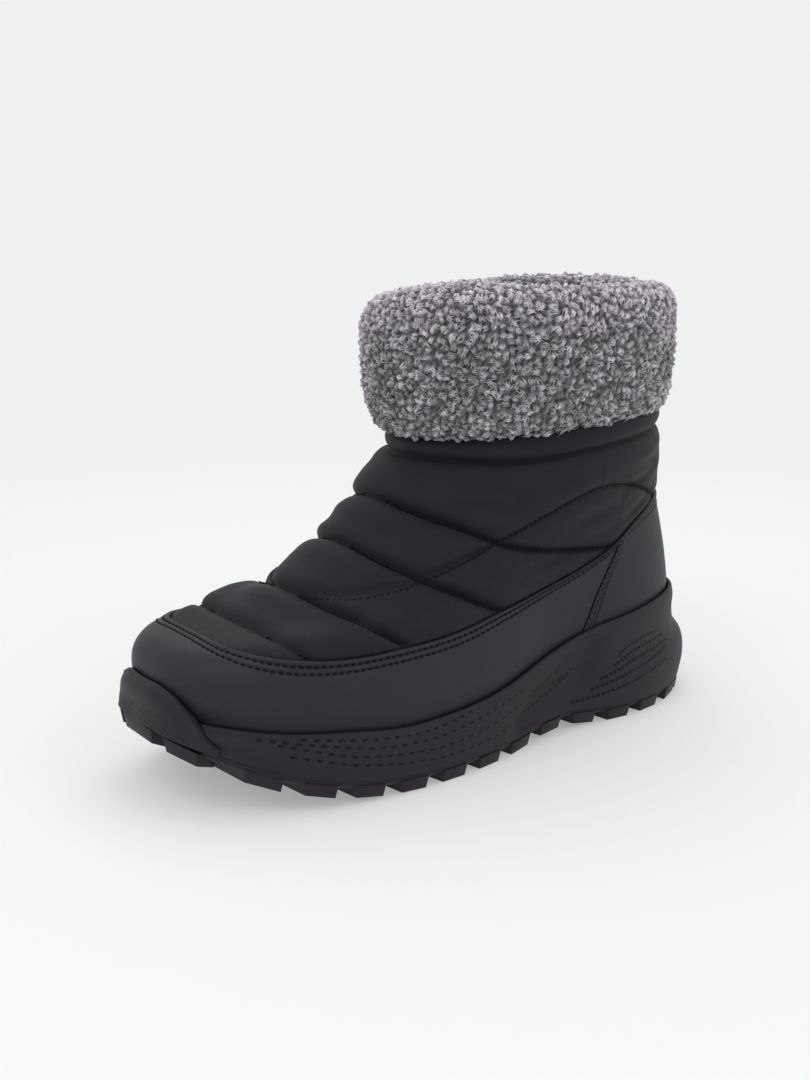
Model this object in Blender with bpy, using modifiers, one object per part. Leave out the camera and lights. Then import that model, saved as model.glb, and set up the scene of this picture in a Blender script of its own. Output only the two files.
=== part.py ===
"""Left pull-on winter boot: quilted shell with smooth mudguard and heel counter, fleece cuff, foam midsole,
rubber toe bumper and lugged outsole."""

import bmesh
import bpy
import numpy as np

MM = 0.001
GAP = 0.3

# Driving sizes of the boot, in millimetres. Stations run back from the toe tip, heights run up from
# the floor, and across is positive on the outer (lateral) side of this left boot.
SOLE_LENGTH = 275.0
BALL_STATION = 95.0
BALL_LATERAL = 57.0
BALL_MEDIAL = 50.0
TOE_SWING = 5.0
SWING_END = 110.0
WAIST_STATION = 175.0
WAIST_SPREAD = 42.0
COLLAR_HEIGHT = 176.0

# Sizes of the sole: toe spring, arch, heel bevel and tread.
TOE_SPRING = 25.0
SPRING_END = 104.0
SPRING_POWER = 2.3
ARCH_RISE = 3.0
ARCH_FROM = 141.0
ARCH_TO = 207.0
HEEL_BEVEL = 7.0
BEVEL_FROM = 247.0
LUG_DEPTH = 4.0
TREAD_BASE = 3.2
TREAD_CHAMFER = 1.0
LUG_ROOT = 1.2
LUG_DRAFT = 1.3
LUG_WIDTH = 21.0
LUG_LENGTH = 12.5
LUG_PITCH = 20.0
LUG_FIRST = 22.0
LUG_COUNT = 12
LUG_SKEW = 4.0
LUG_PROUD = 0.6
TOE_PROUD = 3.4
CENTRE_INSET = 0.34
END_LUG_STEP = 0.36
END_LUG_HALF = 0.13
END_LUG_DEPTH = 9.0

# Wall thicknesses.
UPPER_WALL = 2.4
OVERLAY_WALL = 1.3
RIM_LIP = 1.8
BUMPER_FOOT = 3.0
BUMPER_EDGE = 1.2
BUMPER_BELLY = 1.7
BUMPER_CREST = 1.9
BUMPER_LEAST = 1.0
BUMPER_CLEAR = 0.9
BUMPER_TAPER = 3.0
INSOLE_WALL = 4.0

# Quilting: how far the padding stands out between two seams, and how far from a seam it is full.
QUILT_PUFF = 3.0
QUILT_REACH = 9.5
SEAM_HALF = 1.5
SLACK_FROM = 100.0
SLACK_TO = 165.0
SLACK_SHARE = 0.7
TOE_FROM = 22.0
TOE_TO = 60.0
TOE_SHARE = 0.3

# Resolution: columns around the boot, how evenly they are spaced along it, and rows of the upper
# between its feather edge, rim, overlay edge, hem and collar.
COLUMNS = 60
EVEN_SHARE = 0.75
SPACING_STEPS = 721
LEVEL_STEPS = 400
NUDGE = 0.001
RELIEF_LEAST = 0.1
FOOT_ROWS = 3
OVERLAY_ROWS = 4
QUILT_ROWS = 17
SHAFT_ROWS = 2
LINING_ROWS = 7
COUNTER_COLUMN = 20
COUNTER_LEAN = 2.5
LEAN_SPREAD = 6.0
END_GAP = 0.03
BUMPER_TURN = 0.59
BUMPER_COLUMNS = 6
BUMPER_ROWS = 6
SIDE_ROWS = 8
CUFF_COLUMNS = 48
SHARP_DEGREES = 40

# Fleece cuff: its thickness at the back, how far its locks stand out and hang down, and the seed of their
# unevenness.
CUFF_BACK_SHARE = 0.38
CUFF_CLEAR = 0.4
CUFF_FACE_ROWS = 3
LOCK_RISE = 2.8
LOCK_HANG = 2.2
LOCK_LEAST = 0.3
LOCK_SEED = 5
LOCKS_HANG_BELOW = 0.9


def table(columns, rows):
    """Named columns of a short table, as arrays."""
    return dict(zip(columns, np.array(rows, float).T))


# Sections of the upper, from the feather edge at the sole to the collar. Each is a closed egg through
# a front point and a back point, with its widest station and how square its two ends are.
UPPER = table(
    ("level", "front", "front_z", "back", "back_z", "lateral", "medial", "widest",
     "front_round", "back_round", "sag"),
    [
        (0, 10, 32, 259, 31, 50, 43, 95, 2.60, 2.70, 8),
        (1, 6, 46, 260.5, 50, 53, 46, 95, 2.60, 2.70, 7),
        (2, 8, 55.2, 259.5, 66, 51, 45, 97, 2.60, 2.65, 3),
        (3, 17, 59.8, 258, 79, 47, 41, 105, 2.50, 2.60, 2),
        (4, 45, 63, 256.5, 91, 43, 37, 127, 2.30, 2.45, 0),
        (5, 67, 74.5, 255, 103, 42, 37, 155, 2.15, 2.30, 0),
        (6, 91.5, 91, 253.5, 115, 43, 40, 178, 2.05, 2.20, 0),
        (7, 110, 109.5, 251.5, 126, 45, 43, 184, 2.00, 2.10, 0),
        (8, 124, 125, 250, 137, 46, 46, 187, 2.00, 2.05, 0),
        (9, 126, 152, 249, 154, 46, 47, 188, 2.05, 2.05, 0),
        (10, 126, COLLAR_HEIGHT, 249, COLLAR_HEIGHT, 46, 47, 188, 2.05, 2.05, 0),
    ],
)
TOP_LEVEL = UPPER["level"][-1]

# Pinch of the waist at each side, by level of the upper.
PINCH = table(
    ("level", "lateral", "medial"),
    [(0, 0.15, 0.24), (2, 0.13, 0.20), (4, 0.04, 0.06), (6, 0, 0), (TOP_LEVEL, 0, 0)],
)

# Outlines of the sole in plan: the tread's edge and the widest line of the midsole's side.
OUTLINE_COLUMNS = (
    "front", "back", "lateral", "medial", "widest", "front_round", "back_round", "pinch_out", "pinch_in",
)
TREAD_EDGE = (3, 271, BALL_LATERAL - 2, BALL_MEDIAL - 2, BALL_STATION, 2.70, 2.80, 0.20, 0.27)
SIDE_EDGE = (3.4, SOLE_LENGTH, BALL_LATERAL, BALL_MEDIAL, BALL_STATION, 2.70, 2.80, 0.19, 0.26)

# Height of the midsole's rim along the boot.
RIM = table(
    ("station", "height"),
    [(0, 37), (20, 34.5), (40, 31.5), (60, 29.5), (85, 26.5), (110, 27.5), (130, 30), (164, 39.5),
     (187, 44.5), (210, 47), (240, 50), (275, 50.5)],
)

# Side of the midsole: how far it reaches from the rim (0) to its widest line (1), from the parting line up.
SIDE = table(
    ("rise", "forefoot", "heel"),
    [(0, 0.80, 0.66), (0.2, 0.97, 0.84), (0.4, 1.0, 0.72), (0.6, 0.9, 0.16), (0.78, 0.62, 0.05),
     (0.92, 0.3, 0.08), (1, 0, 0)],
)
SIDE_FROM = 145.0
SIDE_TO = 210.0

# Top edge of the mudguard and the heel counter, in side view.
OVERLAY_EDGE = table(
    ("station", "height"),
    [(0, 61.6), (15, 62.1), (30, 59.7), (50, 57.5), (85, 57.5), (110, 59), (135, 62.5), (160, 66.5),
     (186, 72), (205, 78), (220, 85), (240, 92), (275, 97)],
)

# Lower edge of the fleece cuff over the shaft, its top by the turn around it in degrees, and the toe bumper's
# height by its share out from the toe.
HEM = table(("station", "height"), [(105, 127.5), (150, 132.5), (195, 136), (275, 139)])
CUFF_RIM = table(
    ("turn", "height"),
    [(-30, 183.5), (0, 187), (30, 190.5), (60, 189.5), (120, 188), (150, 186.2), (180, 187.5), (210, 188.5),
     (240, 188), (270, 186), (300, 184), (330, 183.5), (360, 187), (390, 190.5)],
)
BUMPER = table(("out", "height"), [(0, 17), (0.33, 16.6), (0.5, 14.8), (0.67, 10.3), (0.83, 5.6), (1, 1.8)])

# Section of the cuff around the collar, from the hem up its outer face, over the top and down inside:
# distance out from the shaft, share of the way from hem to top, and how much of the locks it carries.
CUFF = table(
    ("out", "rise", "lock"),
    [
        (CUFF_CLEAR, 0.03, 0),
        (4.5, 0.0, 0.7),
        (8, 0.06, 1),
        (10.5, 0.17, 1),
        (12, 0.30, 1),
        (12.6, 0.43, 1),
        (13, 0.56, 1),
        (13, 0.69, 1),
        (12.5, 0.81, 1),
        (10, 0.92, 1),
        (5, 0.985, 0.8),
        (-1, 1.0, 0.6),
        (-6, 0.95, 0.6),
        (-8.5, 0.84, 0.4),
        (-8.8, 0.66, 0.3),
        (-8, 0.48, 0.2),
        (-UPPER_WALL - 2, 0.44, 0),
    ],
)

# Quilting seams in side view, as points (station, height) from the crest down and back.
QUILT_SEAMS = {
    "toe": [(35, 72), (38, 66), (42, 63), (48, 58)],
    "ball": [(62, 79), (65, 72), (74, 66), (87, 58)],
    "instep": [(87, 94), (91, 86), (104, 78), (120, 70), (136, 62.5)],
    "ankle": [(104, 108), (110, 102), (126, 95), (139, 89), (150, 85.5), (170, 81.5), (205, 77)],
    "sweep": [(65, 72), (77, 73.5), (103, 78), (125, 85), (160, 97), (188, 106), (202, 105.5), (245, 93)],
    "neck": [(112, 120.5), (150, 120.7), (190, 124), (255, 128)],
}


def curve(at, knots, values):
    """Smooth curve through the knots, level beyond its ends."""
    slopes = np.gradient(values, knots)
    at = np.clip(at, knots[0], knots[-1])
    i = np.clip(np.searchsorted(knots, at, side="right") - 1, 0, len(knots) - 2)
    step = knots[i + 1] - knots[i]
    t = (at - knots[i]) / step
    u = 1 - t
    ends = (1 + 2 * t) * u * u * values[i] + t * t * (3 - 2 * t) * values[i + 1]
    return ends + t * u * step * (u * slopes[i] - t * slopes[i + 1])


def line(name_of, at):
    """Height of a side-view line at these stations."""
    return curve(at, name_of["station"], name_of["height"])


def egg(angle, front, back, widest, lateral, medial, front_round, back_round):
    """Station and across of a closed egg; angle 0 is the toe, a quarter turn the lateral side."""
    ahead, aside = np.cos(angle), np.sin(angle)
    power = 2 / np.where(ahead > 0, front_round, back_round)
    reach = np.where(ahead > 0, widest - front, back - widest)
    half = np.where(aside > 0, lateral, medial)
    station = widest - np.sign(ahead) * reach * np.abs(ahead) ** power
    return station, np.sign(aside) * half * np.abs(aside) ** power


def last_bend(station, across, pinch_out, pinch_in):
    """Pinches the waist and swings the toe towards the inner side."""
    pinch = np.where(across > 0, pinch_out, pinch_in)
    waist = np.exp(-(((station - WAIST_STATION) / WAIST_SPREAD) ** 2))
    swing = TOE_SWING * np.clip(1 - station / SWING_END, 0, 1) ** 2
    return across * (1 - pinch * waist) - swing


def upper_surface(angle, level):
    """Point (across, station, height) on the upper, before quilting."""
    angle, level = np.broadcast_arrays(np.asarray(angle, float), np.asarray(level, float))
    row = {name: curve(level, UPPER["level"], UPPER[name]) for name in UPPER}
    station, across = egg(
        angle, row["front"], row["back"], row["widest"], row["lateral"], row["medial"],
        row["front_round"], row["back_round"],
    )
    along = (station - row["front"]) / (row["back"] - row["front"])
    height = row["front_z"] + (row["back_z"] - row["front_z"]) * along - row["sag"] * np.sin(np.pi * along)
    pinch_out = curve(level, PINCH["level"], PINCH["lateral"])
    pinch_in = curve(level, PINCH["level"], PINCH["medial"])
    return np.stack([last_bend(station, across, pinch_out, pinch_in), station, height], axis=-1)


def upper_offset(angle, level, distance):
    """Point on the upper, moved out by a distance along its normal."""
    around = upper_surface(angle + NUDGE, level) - upper_surface(angle - NUDGE, level)
    above = np.minimum(np.asarray(level) + NUDGE, TOP_LEVEL)
    below = np.maximum(np.asarray(level) - NUDGE, 0)
    normal = np.cross(around, upper_surface(angle, above) - upper_surface(angle, below))
    normal /= np.linalg.norm(normal, axis=-1, keepdims=True)
    return upper_surface(angle, level) + normal * np.asarray(distance)[..., None]


def level_at(angle, height_of):
    """Level at which each column of the upper crosses a side-view line."""
    levels = np.linspace(0, TOP_LEVEL, LEVEL_STEPS)
    points = upper_surface(np.asarray(angle)[:, None], levels)
    above = points[..., 2] - height_of(points[..., 1])
    return np.array([np.interp(0, np.maximum.accumulate(column), levels) for column in above])


def tread_height(station):
    """Height of the lugs' lower faces: toe spring, flat forefoot, arch, flat heel, heel bevel."""
    spring = TOE_SPRING * np.clip(1 - station / SPRING_END, 0, 1) ** SPRING_POWER
    arch = ARCH_RISE * np.sin(np.pi * np.clip((station - ARCH_FROM) / (ARCH_TO - ARCH_FROM), 0, 1)) ** 2
    bevel = HEEL_BEVEL * np.clip((station - BEVEL_FROM) / (SOLE_LENGTH - BEVEL_FROM), 0, 1) ** 2
    return spring + arch + bevel


def outline(angle, edge, inset=0):
    """Station and across of one of the sole's outlines, drawn in by an inset."""
    size = dict(zip(OUTLINE_COLUMNS, edge))
    size["front"] += inset
    for name in ("back", "lateral", "medial"):
        size[name] -= inset
    pinch_out, pinch_in = size.pop("pinch_out"), size.pop("pinch_in")
    station, across = egg(angle, **size)
    return station, last_bend(station, across, pinch_out, pinch_in)


def parting_height(station):
    """Height at which the midsole meets the outsole."""
    return tread_height(station) + LUG_DEPTH + TREAD_BASE


def midsole_side(angle, rise):
    """Point on the midsole's side; rise 0 is the parting line and 1 the rim."""
    rim_level = level_at(angle, lambda station: line(RIM, station))
    rim = upper_offset(angle, rim_level, np.full(len(angle), OVERLAY_WALL + 3 * GAP + RIM_LIP))
    station, across = outline(angle, SIDE_EDGE)
    heel = np.clip((station - SIDE_FROM) / (SIDE_TO - SIDE_FROM), 0, 1)
    ahead = curve(rise, SIDE["rise"], SIDE["forefoot"])
    reach = ahead + (curve(rise, SIDE["rise"], SIDE["heel"]) - ahead) * heel
    foot_reach = SIDE["forefoot"][0] + (SIDE["heel"][0] - SIDE["forefoot"][0]) * heel
    foot = parting_height(rim[:, 1] + (station - rim[:, 1]) * foot_reach) + GAP
    side_across = rim[:, 0] + (across - rim[:, 0]) * reach
    side_station = rim[:, 1] + (station - rim[:, 1]) * reach
    return np.stack([side_across, side_station, foot + (rim[:, 2] - foot) * rise], axis=-1)


def seam_distance(points):
    """Distance in side view from each point to the nearest quilting seam."""
    nearest = np.full(points.shape[:-1], QUILT_REACH + SEAM_HALF)
    for seam in QUILT_SEAMS.values():
        for start, end in zip(seam[:-1], seam[1:]):
            start, run = np.array(start, float), np.subtract(end, start)
            away = points[..., 1:] - start
            t = np.clip((away @ run) / (run @ run), 0, 1)
            nearest = np.minimum(nearest, np.linalg.norm(away - t[..., None] * run, axis=-1))
    return nearest


def quilt(points):
    """How far the padding stands out at these points of the upper."""
    over = points[..., 2] - line(OVERLAY_EDGE, points[..., 1])
    under = line(HEM, points[..., 1]) - points[..., 2]
    room = np.minimum(np.minimum(seam_distance(points) - SEAM_HALF, over), under)
    full = np.clip(room / QUILT_REACH, 0, 1)
    slack = np.clip((points[..., 1] - SLACK_FROM) / (SLACK_TO - SLACK_FROM), 0, 1)
    ahead = np.clip((TOE_TO - points[..., 1]) / (TOE_TO - TOE_FROM), 0, 1)
    puff = QUILT_PUFF * (1 - SLACK_SHARE * slack) * (1 - (1 - TOE_SHARE) * ahead)
    return puff * np.sin(np.pi / 2 * full)


def material(name, colour, roughness):
    """Principled material with the piece's own colour."""
    made = bpy.data.materials.new(name)
    made.use_nodes = True
    shader = made.node_tree.nodes["Principled BSDF"]
    shader.inputs["Base Color"].default_value = (*colour, 1)
    shader.inputs["Roughness"].default_value = roughness
    shader.inputs["Metallic"].default_value = 0
    return made


def to_frame(point):
    """Metres in the boot's frame: across to +X, toe to -Y, up to +Z."""
    return (point[0] * MM, (point[1] - SOLE_LENGTH / 2) * MM, point[2] * MM)


def finish(name, bm, finish_of, parent):
    """Turns a bmesh into a named, smooth-shaded object under the boot's empty."""
    bmesh.ops.recalc_face_normals(bm, faces=bm.faces)
    mesh = bpy.data.meshes.new(name)
    bm.to_mesh(mesh)
    bm.free()
    mesh.materials.append(finish_of)
    mesh.shade_smooth()
    mesh.set_sharp_from_angle(angle=np.radians(SHARP_DEGREES))
    made = bpy.data.objects.new(name, mesh)
    made.parent = parent
    parent.users_collection[0].objects.link(made)
    return made


def split(bm, corners, depth=None):
    """Two triangles over four corners, creased along the diagonal that lies lower."""
    a, b, c, d = corners
    if depth and depth[0] + depth[2] > depth[1] + depth[3] + RELIEF_LEAST:
        a, b, c, d = b, c, d, a
    bm.faces.new((a, b, c))
    bm.faces.new((a, c, d))


def loft(rings, wrap=False, relief=None):
    """Closed surface through rings that go around the boot; open ends are closed straight across.
    Relief is each point's height over the plain form; faces are creased along its valleys."""
    bm = bmesh.new()
    relief = relief or [np.zeros(len(ring)) for ring in rings]
    rows = [[bm.verts.new(to_frame(point)) for point in ring] for ring in rings]
    count = len(rows[0])
    for low in range(len(rows) if wrap else len(rows) - 1):
        high = (low + 1) % len(rows)
        for i in range(count):
            j = (i + 1) % count
            corners = (rows[low][i], rows[low][j], rows[high][j], rows[high][i])
            split(bm, corners, (relief[low][i], relief[low][j], relief[high][j], relief[high][i]))
    if not wrap:
        for row in (rows[0], rows[-1]):
            for i in range(count // 2):
                corners = (row[i], row[i + 1], row[(count - i - 1) % count], row[(count - i) % count])
                bm.faces.new(dict.fromkeys(corners))
    return bm


def sheet(grid):
    """Open surface through a grid of points, rows running around the boot."""
    bm = bmesh.new()
    rows = [[bm.verts.new(to_frame(point)) for point in row] for row in grid]
    for lower, upper in zip(rows, rows[1:]):
        for i in range(len(lower) - 1):
            split(bm, (lower[i], lower[i + 1], upper[i + 1], upper[i]))
    return bm


def thicken(made, thickness):
    """Gives an open surface its wall, outwards."""
    wall = made.modifiers.new("wall", "SOLIDIFY")
    wall.thickness = thickness * MM
    wall.offset = 1


def column_angle(column):
    """Angle of a column, the columns being spaced partly by turn and partly along the foot's outline."""
    turn = np.linspace(0, 2 * np.pi, SPACING_STEPS)
    row = {name: UPPER[name][1] for name in UPPER}
    half = (row["lateral"] + row["medial"]) / 2
    rounds = row["front_round"], row["back_round"]
    plan = egg(turn, row["front"], row["back"], row["widest"], half, half, *rounds)
    length = np.concatenate([[0], np.cumsum(np.hypot(*np.diff(plan)))])
    share = EVEN_SHARE * length / length[-1] + (1 - EVEN_SHARE) * turn / turn[-1]
    around = np.asarray(column) / COLUMNS
    return np.interp(around % 1, share, turn) + turn[-1] * np.floor(around)


def all_angles():
    return column_angle(np.arange(COLUMNS))


def leaning_angle(column, lean):
    """Angle of a column; those near the heel counter's front edge lean back by a share of its slant."""
    from_toe = (column + COLUMNS / 2) % COLUMNS - COLUMNS / 2
    from_edge = (np.abs(from_toe) - COUNTER_COLUMN) / LEAN_SPREAD
    slant = COUNTER_LEAN * lean * np.sign(from_toe) * np.clip(1 - np.abs(from_edge), 0, 1)
    return column_angle(column + slant)


def wall_rows(column):
    """Angles and levels of the upper's rows, from feather edge past rim, overlay edge and hem to collar."""
    spans = (
        (None, RIM, 0, 0, FOOT_ROWS),
        (RIM, OVERLAY_EDGE, 0, 1, OVERLAY_ROWS),
        (OVERLAY_EDGE, HEM, 1, 0, QUILT_ROWS),
        (HEM, None, 0, 0, SHAFT_ROWS),
    )
    rows = [(leaning_angle(column, 0), np.zeros(len(column)))]
    for low, high, lean_low, lean_high, count in spans:
        for share in (np.arange(count) + 1) / count:
            angle = leaning_angle(column, lean_low + (lean_high - lean_low) * share)
            start = level_at(angle, lambda station: line(low, station)) if low else 0
            end = level_at(angle, lambda station: line(high, station)) if high else TOP_LEVEL
            rows.append((angle, start + (end - start) * share))
    return rows


def make_upper(finish_of, parent):
    outside, relief, inside = [], [], []
    for angle, level in wall_rows(np.arange(COLUMNS)):
        relief.append(quilt(upper_surface(angle, level)))
        outside.append(upper_offset(angle, level, relief[-1]))
    angle = all_angles()
    for level in np.linspace(TOP_LEVEL, 0, LINING_ROWS):
        inside.append(upper_offset(angle, np.full(COLUMNS, level), np.full(COLUMNS, -UPPER_WALL)))
    inside[-1][:, 2] = outside[0][:, 2]
    inside[0][:, 2] = outside[-1][:, 2]
    relief += [np.zeros(COLUMNS)] * len(inside)
    return finish("upper", loft(outside + inside, True, relief), finish_of, parent)


def make_overlay(name, first, last, finish_of, parent):
    """Band of the upper's own surface between two columns, from near its feather edge to the overlay edge."""
    column = np.arange(first, last + 1).astype(float)
    column[0] += END_GAP
    column[-1] -= END_GAP
    rows = wall_rows(column)[1 : FOOT_ROWS + OVERLAY_ROWS + 1]
    grid = [upper_offset(angle, level, np.full(len(angle), GAP)) for angle, level in rows]
    made = finish(name, sheet(grid), finish_of, parent)
    thicken(made, OVERLAY_WALL)
    return made


def make_midsole(finish_of, parent):
    angle = all_angles()
    outside = [midsole_side(angle, np.full(COLUMNS, k / SIDE_ROWS)) for k in range(SIDE_ROWS + 1)]
    clear = np.full(COLUMNS, OVERLAY_WALL + 3 * GAP)
    inside = [upper_offset(*row, clear) for row in wall_rows(np.arange(COLUMNS))[FOOT_ROWS::-1]]
    bed = upper_surface(angle, np.zeros(COLUMNS))[:, 2] - GAP
    inside[-1][:, 2] = bed
    return finish("midsole", loft(outside + inside), finish_of, parent)


def make_insole(finish_of, parent):
    angle = all_angles()
    wall = upper_offset(angle, np.zeros(COLUMNS), np.full(COLUMNS, -UPPER_WALL - 2 * GAP))
    low, high = wall.copy(), wall.copy()
    bed = upper_surface(angle, np.zeros(COLUMNS))[:, 2]
    low[:, 2] = bed
    high[:, 2] = bed + INSOLE_WALL
    return finish("insole", loft([low, high]), finish_of, parent)


def bumper_inside(angle, height, low, rim):
    """Points the bumper lies on at these heights: the midsole's side, and above its rim the mudguard."""
    rise = np.clip((height - low[:, 2]) / (rim[:, 2] - low[:, 2]), 0, 1)
    rim_level = level_at(angle, lambda station: line(RIM, station))
    on_upper = height + upper_surface(angle, rim_level)[:, 2] - rim[:, 2]
    level = level_at(angle, lambda station: np.broadcast_to(on_upper[:, None], station.shape))
    lip = (RIM_LIP + 2 * GAP) * np.clip(1 - (height - rim[:, 2] - 2 * GAP) / BUMPER_TAPER, 0, 1)
    over = upper_offset(angle, level, OVERLAY_WALL + GAP + lip)
    return np.where((height > rim[:, 2])[:, None], over, midsole_side(angle, rise))


def make_bumper(finish_of, parent):
    """Rubber guard over the fronts of outsole, midsole and mudguard, rounded smoothly from foot to top edge."""
    out = np.linspace(-1, 1, 2 * BUMPER_COLUMNS + 1)
    angle = out * BUMPER_TURN
    low = midsole_side(angle, np.zeros(len(angle)))
    rim = midsole_side(angle, np.ones(len(angle)))
    along = np.gradient(rim[:, :2], axis=0)
    outward = np.column_stack([along[:, 1], -along[:, 0], np.zeros(len(angle))])
    outward /= np.linalg.norm(outward, axis=1, keepdims=True)
    tread_station, tread_across = outline(angle, TREAD_EDGE, -BUMPER_CLEAR)
    tread = np.column_stack([tread_across, tread_station, np.zeros(len(angle))])
    parting = parting_height(tread_station) + BUMPER_CLEAR
    foot = tread_height(outline(angle, TREAD_EDGE, -TOE_PROUD)[0]) + LUG_DEPTH + LUG_ROOT + 2 * GAP
    seat = foot + (parting - foot) * out**4
    tall = curve(np.abs(out), BUMPER["out"], BUMPER["height"])
    share = np.linspace(0, 1, BUMPER_ROWS + 1)[:, None]
    height = seat + tall * share
    inside = np.array([bumper_inside(angle, row, low, rim) for row in height])
    reach = ((inside - rim) * outward).sum(axis=-1) + BUMPER_CLEAR
    reach = np.maximum(reach, np.where(height < parting, ((tread - rim) * outward).sum(axis=-1), -np.inf))
    first, last = reach[0] + BUMPER_FOOT, reach[-1] + BUMPER_EDGE
    straight = first + (last - first) * share
    arch = np.sin(np.pi * share**BUMPER_CREST)
    clear = np.max((reach + BUMPER_LEAST - straight)[1:-1] / arch[1:-1], axis=0)
    cover = straight + np.maximum(clear, BUMPER_BELLY * (1 - out**2)) * arch
    rings = []
    for i in range(len(angle)):
        plan = [rim[i, :2] + outward[i, :2] * far for far in (*reach[:, i], *cover[::-1, i])]
        rings.append(np.column_stack([plan, [*height[:, i], *height[::-1, i]]]))
    return finish("toe_bumper", loft(rings), finish_of, parent)


def outline_across(station, edge, side):
    """Across of a sole outline at one station, on one side."""
    size = dict(zip(OUTLINE_COLUMNS, edge))
    ahead = station < size["widest"]
    power = size["front_round"] if ahead else size["back_round"]
    reach = size["widest"] - size["front"] if ahead else size["back"] - size["widest"]
    half = size["lateral"] if side > 0 else size["medial"]
    across = half * max(1 - (abs(station - size["widest"]) / reach) ** power, 0) ** (1 / power)
    return float(last_bend(station, side * across, size["pinch_out"], size["pinch_in"]))


def add_lug(bm, corners):
    """One tapered tread block over four plan corners (across, station), rooted in the outsole's base."""
    centre = np.mean(corners, axis=0)
    roots, faces = [], []
    for across, station in corners:
        root = tread_height(station) + LUG_DEPTH + LUG_ROOT
        roots.append(bm.verts.new(to_frame((across, station, root))))
        inward = centre - (across, station)
        foot = (across, station) + inward * LUG_DRAFT / np.linalg.norm(inward)
        faces.append(bm.verts.new(to_frame((*foot, tread_height(foot[1])))))
    bm.faces.new(roots)
    bm.faces.new(faces[::-1])
    for i in range(len(corners)):
        j = (i + 1) % len(corners)
        bm.faces.new((roots[i], faces[i], faces[j], roots[j]))


def edge_lug(start, side):
    """Plan corners of a block at one edge of the tread, its inner end skewed forward."""
    ends = (start, start + LUG_LENGTH)
    edge = [outline_across(station, TREAD_EDGE, side) for station in ends]
    outer = [(across + side * LUG_PROUD, station) for across, station in zip(edge, ends)]
    inner = [(across - side * LUG_WIDTH, station - LUG_SKEW) for across, station in zip(edge, ends)]
    return outer + inner[::-1]


def centre_lug(start):
    """Plan corners of a block in the middle of the tread."""
    rows = []
    for station in (start, start + LUG_LENGTH):
        edges = [outline_across(station, TREAD_EDGE, side) for side in (1, -1)]
        shares = (CENTRE_INSET, 1 - CENTRE_INSET)
        rows.append([(np.interp(share, (0, 1), edges), station) for share in shares])
    return rows[0] + rows[1][::-1]


def end_lug(turn, proud):
    """Plan corners of a block at the toe or heel end of the tread, about one angle of its outline."""
    angle = turn + np.array([-END_LUG_HALF, END_LUG_HALF])
    outer = np.column_stack(outline(angle, TREAD_EDGE, -proud)[::-1])
    inner = np.column_stack(outline(angle, TREAD_EDGE, END_LUG_DEPTH)[::-1])
    return [*outer, *inner[::-1]]


def make_lugs():
    """Blocks along both edges and around both ends of the tread, and a row down its middle."""
    bm = bmesh.new()
    for end, proud in ((0, TOE_PROUD), (np.pi, LUG_PROUD)):
        for step in (-1, 0, 1):
            add_lug(bm, end_lug(end + step * END_LUG_STEP, proud))
    for k in range(LUG_COUNT):
        start = LUG_FIRST + k * LUG_PITCH
        for side in (1, -1):
            add_lug(bm, edge_lug(start, side))
        add_lug(bm, centre_lug(start + LUG_PITCH / 2 - LUG_SKEW))
    return bm


def make_outsole(finish_of, parent, helpers):
    angle = all_angles()
    rings = []
    for inset, rise in ((TREAD_CHAMFER, 0), (0, TREAD_CHAMFER), (0, TREAD_BASE)):
        station, across = outline(angle, TREAD_EDGE, inset)
        rings.append(np.stack([across, station, tread_height(station) + LUG_DEPTH + rise], axis=-1))
    made = finish("outsole", loft(rings), finish_of, parent)
    lugs = finish("outsole_lugs", make_lugs(), finish_of, helpers)
    lugs.hide_render = True
    lugs.display_type = "WIRE"
    join = made.modifiers.new("lugs", "BOOLEAN")
    join.operation = "UNION"
    join.use_self = True
    join.object = lugs
    return made


def cuff_point(angle, out, height):
    """Point at a height and a distance out from the shaft, which carries on straight up above the collar."""
    on_shaft = np.minimum(height, COLLAR_HEIGHT)[:, None]
    level = level_at(angle, lambda station: np.broadcast_to(on_shaft, station.shape))
    around = upper_surface(angle + NUDGE, level) - upper_surface(angle - NUDGE, level)
    outward = np.stack([around[:, 1], -around[:, 0]], axis=-1)
    outward /= np.linalg.norm(outward, axis=-1, keepdims=True)
    plan = upper_surface(angle, level)[:, :2] + outward * out[:, None]
    return np.column_stack([plan, height])


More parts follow.
